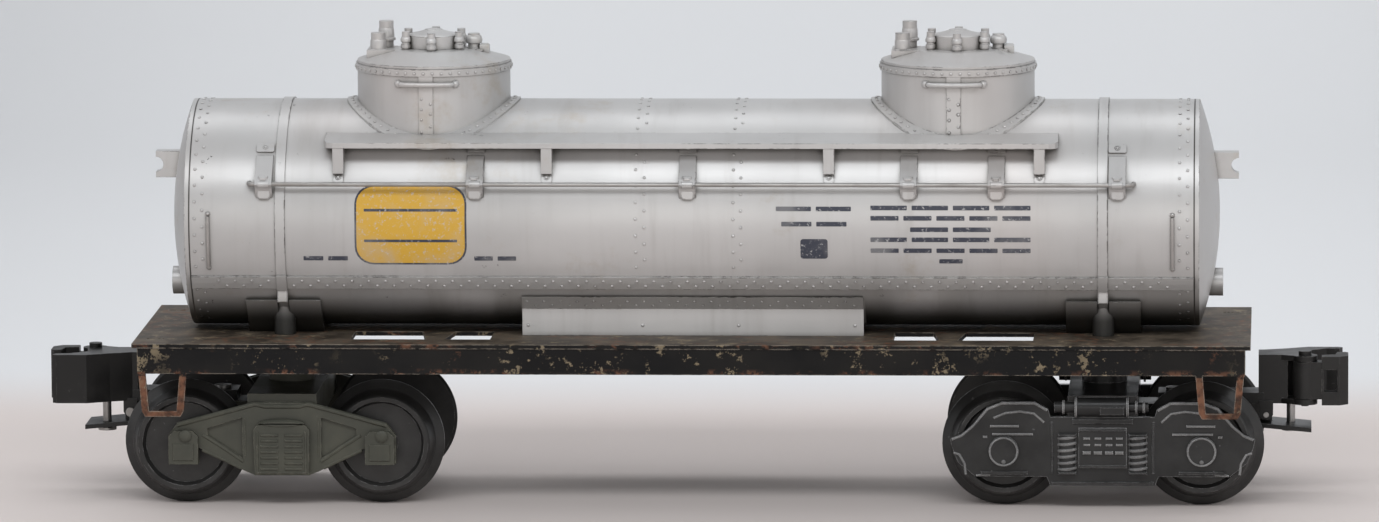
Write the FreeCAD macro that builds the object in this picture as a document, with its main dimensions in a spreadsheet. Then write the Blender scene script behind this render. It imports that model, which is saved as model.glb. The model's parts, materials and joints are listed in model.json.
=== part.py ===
import FreeCAD, Part
import math
import os
import re
import Sketcher

# Model tank wagon: a two-dome tank on a pressed steel frame, carried by two swivelling trucks.
# Millimetres. X runs along the wagon, Y across it, Z up. The origin lies midway between the
# ends and sides, at the lowest points of the wheel flanges, where the wagon stands.

# ---------------------------------------------------------------------------------------------
# Driving dimensions, one spreadsheet cell each
# ---------------------------------------------------------------------------------------------
SIZES = {
    # pressed frame
    "deck_length": 206, "deck_width": 52, "deck_rise": 19.6, "sheet_metal": 0.8,
    "skirt_depth": 5.6, "skirt_inset": 0.3, "skirt_end_inset": 1.0, "end_gap_width": 27,
    "slot_inner": 37.2, "slot_outer": 63, "slot_near": 19.2, "slot_far": 9.0,
    "slot_web_centre": 47.4, "slot_web_width": 3.4, "slot_web_flare": 1.3,
    "step_inset": 0.2, "step_width": 8.9, "step_drop": 8.0, "step_leg": 1.3,
    "step_bar": 1.0, "step_taper": 0.6,
    "corner_slot_length": 3.2, "corner_slot_width": 0.7, "corner_slot_side": 19,
    "corner_slot_inset": 3.7,
    # truck pivots
    "truck_centre": 75.8, "cup_radius": 5, "cup_depth": 5, "stud_radius": 1.6,
    "stud_head_radius": 3.2, "stud_head": 1.2, "washer_thick": 0.5, "washer_radius": 4.2,
    "clip_thick": 0.5, "clip_radius": 3.4, "groove_depth": 0.5, "stud_tail": 0.8,
    # tank
    "tank_radius": 21, "tank_half": 92.6, "tank_wall": 1.4, "tank_gap": 0.4,
    "band_proud": 0.3, "band_width": 1.8,
    "strip_proud": 0.4, "strip_top_angle": 27.5, "strip_low_angle": 35,
    "dome_spacing": 97.4, "dome_radius": 14.2, "dome_height": 7.1, "rim_proud": 0.3,
    "rim_height": 1.3, "dome_wall": 1.3, "flange_width": 1.9, "flange_proud": 0.35,
    "walk_half": 67.6, "walk_angle": 46.37, "walk_reach": 5.61, "walk_rise": 1.1,
    "walk_slope": 6.6, "walk_thick": 1.0, "walk_corner": 1.6, "prop_width": 2, "prop_height": 5.7,
    "rail_angle": 21.51, "rail_stand": 1.96, "rail_radius": 0.4, "rail_half": 81.5,
    "rail_bend": 1.2, "bracket_width": 3.1,
    "plate_half": 31.6, "plate_angle": 41.2, "plate_proud": 0.65, "plate_foot": 13.6,
    "plate_thick": 1.0, "plate_knee": 5.0,
    "pad_angle": 43.9, "pad_proud": 1.23, "pad_foot": 9.2, "pad_thick": 2.0,
    "pad_near": 1.1, "pad_far": 6.9,
    "boss_side": 12, "boss_radius": 2, "boss_pilot": 0.75, "boss_height": 5.5,
    "screw_radius": 0.7, "screw_head_radius": 1.8, "screw_head": 1.1, "screw_length": 4.6,
    "screw_slot": 0.5,
    # tank heads
    "head_rim": 0.9, "head_dome": 3.7, "spigot_length": 3, "spigot_wall": 1.2,
    "lug_height": 8.9, "lug_depth": 4.9, "lug_width": 3, "lug_reach": 8.1, "lug_notch": 1.4,
    "boss_drop": 13, "head_boss_radius": 2.6, "head_boss_reach": 5.2,
    # dome caps
    "cap_lip": 0.5, "cap_spigot": 2, "cap_cone_radius": 7.6, "cap_rise": 2.4, "manway_radius": 4.9,
    "manway_height": 2.6, "manway_hub": 2.2, "hub_height": 1.0, "bolt_circle": 5.7,
    "bolt_radius": 0.75, "bolt_height": 3.4, "valve_out": 10.2, "valve_height": 6.4,
    "valve_radius": 1.35, "valve_near": 1.7, "valve_far": 2.2, "valve_shift": 1.2,
    "valve_step": 0.9, "seat_margin": 0.65, "vent_out": 7.5, "vent_height": 5.2, "vent_radius": 1.1,
    # wheels and axles
    "wheelbase": 36.4, "flange_radius": 11.5, "wheel_back": 14.2, "wheel_width": 4.7,
    "flange_thick": 1.1, "tread_radius": 9.8, "tread_taper": 0.8, "wheel_rim": 1.1,
    "wheel_dish": 1.3, "hub_radius": 2.6, "hub_proud": 0.25, "axle_radius": 1.2,
    "axle_shoulder": 1.7,
    # truck frames
    "side_play": 0.45, "frame_thick": 1.5, "wheel_clearance": 0.3, "bolster_rise": 4.1,
    "bolster_depth": 5.4, "journal_proud": 1.3, "spring_proud": 1.1, "web_recess": 0.6,
    "cap_radius": 2.7, "cap_drop": 0.6, "centre_proud": 0.6, "turned_sunk": 0.6,
    "cylinder_rise": 7.45, "spring_place": 6.5,
    # couplers, measured outwards from the truck pivot
    "tab_width": 8, "tab_end": 23, "tab_thick": 1.6, "shank_start": 10, "shank_thick": 2.0,
    "rivet_near": 13, "rivet_far": 20, "coupler_rivet_radius": 0.9,
    "head_start": 28.6, "head_end": 34.6, "head_half_width": 3.4, "coupler_height": 9.1,
    "coupler_reach": 45.2, "guard_side": 7.2,
    "pin_out": 37.2, "pin_side": 3.6, "pin_radius": 0.7, "pin_head": 0.8, "barrel_radius": 2.3,
    "lug_plate": 1.0, "knuckle_side": 5.9, "knuckle_slot": 4.2, "nose_thick": 2.0, "nose_tip": 0.6,
    "flap_pin_out": 30, "flap_pin_drop": 2.1, "flap_pin_radius": 0.5, "flap_ear": 1.0, "ear_inset": 2.2,
    "flap_width": 10, "flap_end": 38.4, "flap_thick": 0.8, "flap_barrel": 1.1,
    "flap_fall": 0.9,
    "plunger_out": 34.6, "plunger_side": 1.7, "plunger_radius": 0.8, "plunger_lift": 1.4,
    "plunger_play": 0.6,
    "spring_wire": 0.2, "spring_turns": 3,
    # clearances
    "running": 0.07, "snug": 0.02, "gap": 0.3, "slim": 0.1,
}

# Lengths that follow from the driving dimensions
DERIVED = {
    "deck_half": "(deck_length / 2)",
    "deck_side": "(deck_width / 2)",
    "axle_height": "flange_radius",
    "deck_top": "(axle_height + deck_rise)",
    "deck_low": "(deck_top - sheet_metal)",
    "skirt_low": "(deck_top - skirt_depth)",
    "skirt_side": "(deck_side - skirt_inset)",
    "skirt_end": "(deck_half - skirt_end_inset)",
    "step_reach": "(skirt_end - step_inset)",
    "corner_slot_end": "(deck_half - corner_slot_inset)",
    "cup_floor": "(deck_top - cup_depth)",
    "cup_low": "(cup_floor - sheet_metal)",
    "tank_axis": "(deck_top + tank_gap + tank_radius)",
    "deck_below_axis": "(tank_gap + tank_radius)",
    "dome_place": "(dome_spacing / 2)",
    "dome_rise": "(tank_radius + dome_height)",
    "walk_top": "(tank_radius * sin(walk_angle))",
    "walk_edge": "(tank_radius * cos(walk_angle) + walk_reach)",
    "prop_low": "(walk_top - prop_height)",
    "rail_height": "(tank_radius * sin(rail_angle))",
    "rail_out": "(tank_radius * cos(rail_angle) + rail_stand)",
    "plate_ledge": "(tank_radius * sin(plate_angle))",
    "plate_out": "(tank_radius * cos(plate_angle) + plate_proud)",
    "pad_ledge": "(tank_radius * sin(pad_angle))",
    "pad_out": "(tank_radius * cos(pad_angle) + pad_proud)",
    "axle_place": "(wheelbase / 2)",
    "wheel_front": "(wheel_back + wheel_width)",
    "boss_face": "(cup_low - slim - washer_thick)",
    "bolster_low": "(axle_height + bolster_rise)",
    "bolster_top": "(bolster_low + bolster_depth)",
    "bolster_half": "(axle_place - flange_radius - wheel_clearance)",
    "clip_top": "(bolster_low - gap)",
    "clip_low": "(clip_top - clip_thick)",
    "shank_low": "(bolster_low + tab_thick)",
    "coupler_low": "(bolster_low + tab_thick)",
    "coupler_top": "(coupler_low + coupler_height)",
    "coupler_middle": "(coupler_low + coupler_height / 2)",
    "flap_pin_height": "(coupler_low - flap_pin_drop)",
    "ear_inner": "(flap_width / 2 - ear_inset)",
    "plunger_top": "(coupler_low + plunger_lift)",
    "barrel_low": "(coupler_low + lug_plate + slim)",
    "barrel_top": "(coupler_top - lug_plate - slim)",
    "head_sphere": "((tank_radius ^ 2 + head_dome ^ 2) / (2 * head_dome))",
    "frame_inner": "(wheel_front + hub_proud + side_play)",
    "frame_outer": "(frame_inner + frame_thick)",
    "axle_half": "(frame_outer + slim)",
}

doc = FreeCAD.newDocument("tank_wagon")
sheet = doc.addObject("Spreadsheet::Sheet", "sizes")
for row, (alias, number) in enumerate(SIZES.items(), start=1):
    sheet.set(f"A{row}", alias)
    sheet.set(f"B{row}", str(number))
    sheet.setAlias(f"B{row}", alias)
doc.recompute()

NODES = {}


# ---------------------------------------------------------------------------------------------
# Helpers: formulas, sketches, pads, primitives and booleans
# ---------------------------------------------------------------------------------------------
def formula(text):
    """Turn a formula in plain size names into one that reads the spreadsheet."""
    text = str(text)
    while True:
        wider = re.sub(r"[a-z_]+", lambda word: DERIVED.get(word.group(), word.group()), text)
        if wider == text:
            break
        text = wider
    return re.sub(r"[a-z_]+", lambda word: "sizes." + word.group()
                  if word.group() in SIZES else word.group(), text)


def bind(thing, place, text):
    thing.setExpression(place, formula(text))


def put(thing, position, turn=0, about=(0, 0, 1)):
    """Turn a thing about an axis through its own origin, and put that origin at a position."""
    turned = FreeCAD.Rotation(FreeCAD.Vector(*about), turn)
    thing.Placement = FreeCAD.Placement(FreeCAD.Vector(0, 0, 0), turned)
    for axis, text in zip("xyz", position):
        bind(thing, f".Placement.Base.{axis}", text)
    return thing


def node(label, thing):
    """Name a finished piece, which becomes one node of the wagon."""
    thing.Label = label
    NODES[label] = thing
    return thing


def new_body(name):
    return doc.addObject("PartDesign::Body", name)


def sketch_on(body, role, start="0"):
    """An empty sketch on one of the body's own planes, moved along that plane's normal."""
    plane = next(item for item in body.Origin.OriginFeatures if item.Role == role)
    drawn = body.newObject("Sketcher::SketchObject", "outline")
    drawn.AttachmentSupport = [(plane, "")]
    drawn.MapMode = "FlatFace"
    bind(drawn, ".AttachmentOffset.Base.z", start)
    return drawn


def polygon(drawn, corners):
    """A closed outline of straight edges through corners given as pairs of formulas."""
    count = len(corners)
    first = drawn.GeometryCount
    ring = []
    for number in range(count):
        angle = 2 * math.pi * number / count
        ring.append(FreeCAD.Vector(10 * math.cos(angle), 10 * math.sin(angle), 0))
    edges = [Part.LineSegment(ring[number], ring[(number + 1) % count]) for number in range(count)]
    drawn.addGeometry(edges, False)
    joints = []
    for number in range(count):
        following = first + (number + 1) % count
        joints.append(Sketcher.Constraint("Coincident", first + number, 2, following, 1))
    drawn.addConstraint(joints)
    for number, corner in enumerate(corners):
        for kind, text, start in zip(("DistanceX", "DistanceY"), corner, ring[number]):
            rule = Sketcher.Constraint(kind, -1, 1, first + number, 1, start)
            bind(drawn, f"Constraints[{drawn.addConstraint(rule)}]", text)


def circle(drawn, across, up, radius):
    """A circle whose centre and radius are formulas."""
    drawn.addGeometry(Part.Circle(FreeCAD.Vector(1, 1, 0), FreeCAD.Vector(0, 0, 1), 1), False)
    edge = drawn.GeometryCount - 1
    for kind, text in (("DistanceX", across), ("DistanceY", up)):
        rule = Sketcher.Constraint(kind, -1, 1, edge, 3, 1)
        bind(drawn, f"Constraints[{drawn.addConstraint(rule)}]", text)
    rule = Sketcher.Constraint("Radius", edge, 1)
    bind(drawn, f"Constraints[{drawn.addConstraint(rule)}]", radius)


def rectangle(drawn, left, right, low, high):
    polygon(drawn, [(left, low), (right, low), (right, high), (left, high)])


def pad(body, drawn, length):
    """Add material from the sketch along its normal."""
    feature = body.newObject("PartDesign::Pad", "pad")
    feature.Profile = drawn
    bind(feature, "Length", length)
    return feature


def pocket(body, drawn, length):
    """Remove material from the sketch along its normal."""
    feature = body.newObject("PartDesign::Pocket", "pocket")
    feature.Profile = drawn
    feature.Reversed = True
    bind(feature, "Length", length)
    return feature


def revolve(body, drawn, axis):
    """Turn the sketch a full circle about its own horizontal or vertical axis."""
    feature = body.newObject("PartDesign::Revolution", "turned")
    feature.Profile = drawn
    feature.ReferenceAxis = (drawn, [axis])
    feature.Angle = 360
    return feature


def solid(kind, sizes, position, turn=0, about=(0, 0, 1)):
    """A primitive whose sizes and place are formulas."""
    made = doc.addObject("Part::" + kind, kind.lower())
    for name, text in sizes.items():
        bind(made, name, text)
    return put(made, position, turn, about)


def box(low, high):
    """A box between two corners given as formulas."""
    spans = [f"({b}) - ({a})" for a, b in zip(low, high)]
    return solid("Box", dict(zip(("Length", "Width", "Height"), spans)), low)


def rod(radius, length, position, along="z"):
    """A cylinder that starts at a position and runs along an axis."""
    turns = {"z": (0, (0, 0, 1)), "x": (90, (0, 1, 0)), "y": (-90, (1, 0, 0))}
    return solid("Cylinder", {"Radius": radius, "Height": length}, position, *turns[along])


def fuse(things):
    made = doc.addObject("Part::MultiFuse", "joined")
    made.Shapes = list(things)
    return made


def cut(base, tools):
    made = doc.addObject("Part::Cut", "trimmed")
    made.Base = base
    made.Tool = tools[0] if len(tools) == 1 else fuse(tools)
    return made


def common(first, second):
    made = doc.addObject("Part::MultiCommon", "shared")
    made.Shapes = [first, second]
    return made


def both(values, change):
    """The same outline and its mirror image."""
    return [values, [change(value) for value in values]]


def mirror_y(corner):
    return (corner[0], f"-({corner[1]})")


def mirror_x(corner):
    return (f"-({corner[0]})", corner[1])


# ---------------------------------------------------------------------------------------------
# Pressed steel frame: deck, skirts, steps, truck cups and cut-outs
# ---------------------------------------------------------------------------------------------
def frame():
    body = new_body("frame_pressing")
    deck = sketch_on(body, "XY_Plane", "deck_low")
    rectangle(deck, "-deck_half", "deck_half", "-deck_side", "deck_side")
    pad(body, deck, "sheet_metal")

    skirt = sketch_on(body, "XY_Plane", "skirt_low")
    rectangle(skirt, "-skirt_end", "skirt_end", "-skirt_side", "skirt_side")
    pad(body, skirt, "deck_low - skirt_low")
    hollow = sketch_on(body, "XY_Plane", "skirt_low")
    inner_end = "skirt_end - sheet_metal"
    inner_side = "skirt_side - sheet_metal"
    rectangle(hollow, f"-({inner_end})", inner_end, f"-({inner_side})", inner_side)
    pocket(body, hollow, "deck_low - skirt_low")
    ends = sketch_on(body, "XY_Plane", "skirt_low")
    rectangle(ends, "-deck_half", "deck_half", "-end_gap_width / 2", "end_gap_width / 2")
    pocket(body, ends, "deck_low - skirt_low")

    inner = "step_reach - step_width"
    low = "skirt_low - step_drop"
    step = [
        (inner, "deck_low"),
        (f"{inner}", "skirt_low"),
        (f"{inner} + step_taper", f"{low} + step_bar"),
        (f"{inner} + 2 * step_taper", low),
        ("step_reach - 2 * step_taper", low),
        ("step_reach - step_taper", f"{low} + step_bar"),
        ("step_reach", "skirt_low"),
        ("step_reach", "deck_low"),
        ("step_reach - step_leg", "deck_low"),
        ("step_reach - step_leg", "skirt_low"),
        ("step_reach - step_leg - step_taper", f"{low} + step_bar"),
        (f"{inner} + step_leg + step_taper", f"{low} + step_bar"),
        (f"{inner} + step_leg", "skirt_low"),
        (f"{inner} + step_leg", "deck_low"),
    ]
    for outline in both(step, mirror_x):
        for start in ("skirt_side - sheet_metal", "-skirt_side"):
            drawn = sketch_on(body, "XZ_Plane", start)
            polygon(drawn, outline)
            pad(body, drawn, "sheet_metal")

    cups = sketch_on(body, "XY_Plane", "cup_low")
    for place in ("truck_centre", "-truck_centre"):
        circle(cups, place, "0", "cup_radius")
    pad(body, cups, "deck_low - cup_low")
    bowls = sketch_on(body, "XY_Plane", "cup_floor")
    for place in ("truck_centre", "-truck_centre"):
        circle(bowls, place, "0", "cup_radius - sheet_metal")
    pocket(body, bowls, "cup_depth")
    holes = sketch_on(body, "XY_Plane", "cup_low")
    for place in ("truck_centre", "-truck_centre"):
        circle(holes, place, "0", "stud_radius + snug")
    pocket(body, holes, "sheet_metal")

    openings = sketch_on(body, "XY_Plane", "deck_low")
    half_web = "slot_web_width / 2"
    outer_slot = [
        ("slot_outer", "slot_near"), ("slot_outer", "slot_far"),
        (f"slot_web_centre + {half_web} + slot_web_flare", "slot_far"),
        (f"slot_web_centre + {half_web}", "slot_near"),
    ]
    inner_slot = [
        ("slot_inner", "slot_near"), ("slot_inner", "slot_far"),
        (f"slot_web_centre - {half_web} - slot_web_flare", "slot_far"),
        (f"slot_web_centre - {half_web}", "slot_near"),
    ]
    for slot in (outer_slot, inner_slot):
        for outline in both(slot, mirror_x):
            polygon(openings, outline)
            polygon(openings, [mirror_y(corner) for corner in outline])
    for end in ("", "-"):
        for side in ("", "-"):
            left = f"{end}corner_slot_end - corner_slot_length / 2"
            low_edge = f"{side}corner_slot_side - corner_slot_width / 2"
            rectangle(openings, left, f"{left} + corner_slot_length", low_edge,
                      f"{low_edge} + corner_slot_width")
            circle(openings, f"{end}truck_centre", f"{side}boss_side", "screw_radius + running")
    pocket(body, openings, "sheet_metal")
    return node("frame", body)


# ---------------------------------------------------------------------------------------------
# Tank: one hollow moulding that carries the domes, walkways, brackets, bands and plates
# ---------------------------------------------------------------------------------------------
BRACKETS = (-78.7, -39.7, -0.5, 40.2, 56.3, 78.5)
PROPS = (-65, -26.5, 25.5, 64.2)
# a bracket's outline, measured from the middle of the wire that it holds
BRACKET_OUTLINE = [(-5.5, 5.0), (-4.2, 4.8), (-3.5, 4.1), (0, 0.9), (0.7, 0), (0, -0.8),
                   (-1.1, -2.6), (-2.5, -2.0)]


def on_tank(radius, angle):
    """A corner at a distance from the tank's axis, so many degrees below the horizontal."""
    return (f"({radius}) * cos({angle})", f"-({radius}) * sin({angle})")


def tank_mould():
    """The outer shape of the tank, solid, with its axis on the body's X axis."""
    body = new_body("tank_mould")
    side = sketch_on(body, "XY_Plane")
    rectangle(side, "-tank_half", "tank_half", "0", "tank_radius")
    revolve(body, side, "H_Axis")

    for place in ("truck_centre", "-truck_centre"):
        band = sketch_on(body, "YZ_Plane", f"{place} - band_width / 2")
        circle(band, "0", "0", "tank_radius + band_proud")
        pad(body, band, "band_width")

    dome = sketch_on(body, "XY_Plane", "0")
    lip = sketch_on(body, "XY_Plane", "dome_rise - rim_height")
    for place in ("dome_place", "-dome_place"):
        circle(dome, place, "0", "dome_radius")
        circle(lip, place, "0", "dome_radius + rim_proud")
    pad(body, dome, "dome_rise")
    pad(body, lip, "rim_height")

    walk = [
        ("tank_radius / 2", "walk_top + walk_rise"), ("walk_edge - walk_slope", "walk_top + walk_rise"),
        ("walk_edge", "walk_top"), ("walk_edge", "walk_top - walk_thick"),
        ("tank_radius / 2", "walk_top - walk_thick"),
    ]
    flip = [(f"-({across})", up) for across, up in walk]
    boards = sketch_on(body, "YZ_Plane", "-walk_half")
    polygon(boards, walk)
    polygon(boards, flip)
    pad(body, boards, "2 * walk_half")

    corner = [
        ("walk_half - walk_corner", "walk_edge + 1"), ("walk_half + 1", "walk_edge + 1"),
        ("walk_half + 1", "walk_edge - walk_corner"), ("walk_half", "walk_edge - walk_corner"),
        ("walk_half - 0.3 * walk_corner", "walk_edge - 0.3 * walk_corner"),
        ("walk_half - walk_corner", "walk_edge"),
    ]
    corners = sketch_on(body, "XY_Plane", "walk_top - walk_thick")
    for outline in both(corner, mirror_x):
        polygon(corners, outline)
        polygon(corners, [mirror_y(point) for point in outline])
    pocket(body, corners, "walk_thick + walk_rise")

    props = sketch_on(body, "XY_Plane", "prop_low")
    for place in PROPS:
        for low, high in (("tank_radius / 2", "walk_edge - slim"),
                          ("slim - walk_edge", "-tank_radius / 2")):
            centre = place if low.startswith("slim") else -place
            rectangle(props, f"{centre} - prop_width / 2", f"{centre} + prop_width / 2", low, high)
    pad(body, props, "walk_top - walk_thick - prop_low + slim")

    bracket = [(f"rail_out + {across}", f"rail_height + {up}") for across, up in BRACKET_OUTLINE]
    for place in BRACKETS:
        for centre, outline in ((-place, bracket), (place, [(f"-({a})", b) for a, b in bracket])):
            drawn = sketch_on(body, "YZ_Plane", f"{centre} - bracket_width / 2")
            polygon(drawn, outline)
            pad(body, drawn, "bracket_width")

    strip = [on_tank("tank_radius - 0.5", "strip_top_angle"),
             on_tank("tank_radius + strip_proud", "strip_top_angle"),
             on_tank("tank_radius + strip_proud", "(strip_top_angle + strip_low_angle) / 2"),
             on_tank("tank_radius + strip_proud", "strip_low_angle"),
             on_tank("tank_radius - 0.5", "strip_low_angle")]
    strips = sketch_on(body, "YZ_Plane", "-tank_half")
    polygon(strips, strip)
    polygon(strips, [(f"-({a})", b) for a, b in strip])
    pad(body, strips, "2 * tank_half")

    foot = "-(deck_below_axis)"
    knee = f"{foot} + plate_knee"
    plate = [
        ("plate_out - plate_thick - slim", "-plate_ledge"), ("plate_out", "-plate_ledge"),
        ("plate_foot", knee), ("plate_foot", foot),
        ("plate_foot - plate_thick", foot), ("plate_foot - plate_thick", f"{knee} + plate_thick / 2"),
    ]
    plates = sketch_on(body, "YZ_Plane", "-plate_half")
    polygon(plates, plate)
    polygon(plates, [(f"-({a})", b) for a, b in plate])
    pad(body, plates, "2 * plate_half")

    saddle = [
        ("pad_out - 1.6", "-pad_ledge"), ("pad_out", "-pad_ledge"), ("pad_foot", foot),
        ("pad_foot - pad_thick", foot), ("pad_foot - pad_thick", "-pad_ledge - 0.6"),
    ]
    for centre in ("truck_centre", "-truck_centre"):
        for start in (f"{centre} + pad_near", f"{centre} - pad_far"):
            drawn = sketch_on(body, "YZ_Plane", start)
            polygon(drawn, saddle)
            polygon(drawn, [(f"-({a})", b) for a, b in saddle])
            pad(body, drawn, "pad_far - pad_near")
    return body


def tank_shell():
    mould = tank_mould()
    bores = [rod("tank_radius - tank_wall", "2 * tank_half + 2", ("-tank_half - 1", "0", "0"), "x")]
    flanges = []
    for place in ("dome_place", "-dome_place"):
        bores.append(rod("dome_radius - dome_wall", "dome_rise + 1", (place, "0", "0")))
        ring = rod("dome_radius + flange_width", "tank_radius + 2", (place, "0", "0"))
        skin = rod("tank_radius + flange_proud", "3 * dome_radius",
                   (f"{place} - 1.5 * dome_radius", "0", "0"), "x")
        flanges.append(common(ring, skin))
    rail_holes = []
    for side, start in (("", "tank_radius / 2"), ("-", "-rail_out")):
        rail_holes.append(rod("rail_radius + snug", "2 * rail_half",
                              ("-rail_half", f"{side}rail_out", "rail_height"), "x"))
        for place in ("rail_half", "-rail_half"):
            rail_holes.append(rod("rail_radius + snug", "rail_out - tank_radius / 2",
                                  (place, start, "rail_height"), "y"))
    hollow = cut(fuse([mould] + flanges), bores + rail_holes)
    bosses = []
    pilots = []
    for place in ("truck_centre", "-truck_centre"):
        for side in ("boss_side", "-boss_side"):
            low = (place, side, "-(deck_below_axis)")
            bosses.append(rod("boss_radius", "boss_height", low))
            pilots.append(rod("boss_pilot", "screw_length + gap", low))
    shell = cut(fuse([hollow] + bosses), pilots)
    return node("tank_shell", put(shell, ("0", "0", "tank_axis")))


def handrail(label, turn):
    """A wire along the tank, bent at both ends into holes in the tank's wall."""
    run = "rail_half - rail_bend"
    inside = "tank_radius - 4"
    pieces = [rod("rail_radius", f"2 * ({run})", (f"-({run})", "-rail_out", "0"), "x")]
    for end, first in (("", 270), ("-", 180)):
        bend = solid("Torus", {"Radius1": "rail_bend", "Radius2": "rail_radius"},
                     (f"{end}({run})", "rail_bend - rail_out", "0"), first)
        bend.Angle3 = 90
        pieces.append(bend)
        pieces.append(rod("rail_radius", f"rail_out - rail_bend - ({inside})",
                          (f"{end}rail_half", "rail_bend - rail_out", "0"), "y"))
    return node(label, put(fuse(pieces), ("0", "0", "tank_axis + rail_height"), turn))


def tank_head(label, turn):
    """A shallow domed end with a spigot inside the tank, a forked lug and a lower boss."""
    edge = "head_rim + head_dome"
    disc = rod("tank_radius", edge, ("tank_half", "0", "0"), "x")
    ball = solid("Sphere", {"Radius": "head_sphere"}, (f"tank_half + {edge} - head_sphere", "0", "0"))
    spigot = rod("tank_radius - tank_wall - slim", "spigot_length + 0.2",
                 ("tank_half - spigot_length", "0", "0"), "x")
    well = rod("tank_radius - tank_wall - slim - spigot_wall", "spigot_length + head_rim",
               ("tank_half - spigot_length", "0", "0"), "x")
    lug = box(("tank_half + 1", "-lug_width / 2", "lug_height - lug_depth / 2"),
              ("tank_half + lug_reach", "lug_width / 2", "lug_height + lug_depth / 2"))
    notch = rod("lug_notch", "lug_width + 2", ("tank_half + lug_reach", "-lug_width / 2 - 1",
                                               "lug_height"), "y")
    boss = rod("head_boss_radius", "head_boss_reach - 1", ("tank_half + 1", "0", "-boss_drop"), "x")
    whole = cut(fuse([common(disc, ball), spigot, lug, boss]), [well, notch])
    return node(label, put(whole, ("0", "0", "tank_axis"), turn))


CAP_BOLTS = 6


def dome_cap(label, end):
    """A coned dome cover with its bolted manway, safety valves and vent."""
    body = new_body("cap_moulding")
    spigot = "dome_radius - dome_wall - slim"
    inner = f"{spigot} - spigot_wall"
    rim = "dome_radius + rim_proud - gap"
    cone = sketch_on(body, "XZ_Plane")
    polygon(cone, [
        ("0", "0"), (inner, "0"), (inner, "-cap_spigot"), (spigot, "-cap_spigot"), (spigot, "0"),
        (rim, "0"), (rim, "cap_lip"),
        ("cap_cone_radius", "cap_rise"), ("manway_radius", "cap_rise + 0.2"),
        ("manway_radius", "cap_rise + manway_height"), ("manway_hub", "cap_rise + manway_height"),
        ("manway_hub - 0.6", "cap_rise + manway_height + hub_height"),
        ("0", "cap_rise + manway_height + hub_height"),
    ])
    revolve(body, cone, "V_Axis")
    bolts = sketch_on(body, "XY_Plane", "cap_rise - 1")
    for number in range(CAP_BOLTS):
        turn = 360 / CAP_BOLTS * (number + 0.5)
        circle(bolts, f"bolt_circle * cos({turn})", f"bolt_circle * sin({turn})", "bolt_radius")
    pad(body, bolts, "bolt_height + 1")
    valves = sketch_on(body, "XY_Plane", "cap_lip")
    circle(valves, "-valve_out", "-valve_near", "valve_radius")
    pad(body, valves, "valve_height - cap_lip - valve_step")
    far_valve = sketch_on(body, "XY_Plane", "cap_lip")
    circle(far_valve, "valve_shift - valve_out", "valve_far", "valve_radius")
    pad(body, far_valve, "valve_height + valve_step - cap_lip")
    seats = sketch_on(body, "XY_Plane", "cap_lip - 0.2")
    valve_seat = "valve_radius + seat_margin"
    rectangle(seats, f"-valve_out - ({valve_seat})", f"valve_shift - valve_out + {valve_seat}",
              f"-valve_near - ({valve_seat})", f"valve_far + {valve_seat}")
    vent_seat = "vent_radius + seat_margin"
    rectangle(seats, f"vent_out - ({vent_seat})", f"vent_out + {vent_seat}",
              f"-({vent_seat})", vent_seat)
    pad(body, seats, "cap_rise - cap_lip + 0.2")
    vent = sketch_on(body, "XY_Plane", "cap_lip")
    circle(vent, "vent_out", "0", "vent_radius")
    pad(body, vent, "vent_height - cap_lip")
    return node(label, put(body, (f"{end}dome_place", "0", "tank_axis + dome_rise + snug")))


def tank_screws():
    """Four slotted screws that hold the tank's feet down on the deck."""
    screws = []
    for place in ("truck_centre", "-truck_centre"):
        for side in ("boss_side", "-boss_side"):
            head_low = "deck_low - slim / 2 - screw_head"
            head = rod("screw_head_radius", "screw_head", (place, side, head_low))
            shank = rod("screw_radius", "screw_length", (place, side, "deck_low - slim / 2 - snug"))
            slot = box((f"{place} - 2", f"{side} - screw_slot / 2", f"{head_low} - 1"),
                       (f"{place} + 2", f"{side} + screw_slot / 2", f"{head_low} + screw_slot"))
            screws.append(cut(fuse([head, shank]), [slot]))
    group = doc.addObject("Part::Compound", "screw_set")
    group.Links = screws
    return node("tank_screws", group)


# ---------------------------------------------------------------------------------------------
# Trucks: everything here is drawn round the truck's own pivot, with +X outwards
# ---------------------------------------------------------------------------------------------
def at_truck(thing, end, height="0"):
    """Stand a thing drawn round the pivot at the left or right end of the wagon."""
    if end == "left":
        return put(thing, ("-truck_centre", "0", height), 180)
    return put(thing, ("truck_centre", "0", height))


def over_axle(corners):
    """Corners whose heights are given from the axles' centre line."""
    return [(str(across), f"axle_height + {up}") for across, up in corners]


def side_pads(body, outlines, start, thick):
    """Pad the same outlines onto both side frames."""
    for offset in (f"{start}", f"-({start} + {thick})"):
        drawn = sketch_on(body, "XZ_Plane", offset)
        for outline in outlines:
            polygon(drawn, outline)
        pad(body, drawn, thick)


def turned(body, depth, centre, profile, axis):
    """Add a turned shape, half sunk in a side frame, round an axis through a point of it."""
    drawn = sketch_on(body, "XZ_Plane", depth)
    for direction, text in zip("xy", centre):
        bind(drawn, f".AttachmentOffset.Base.{direction}", text)
    polygon(drawn, [(str(across), str(up)) for across, up in profile])
    revolve(body, drawn, axis)


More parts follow.
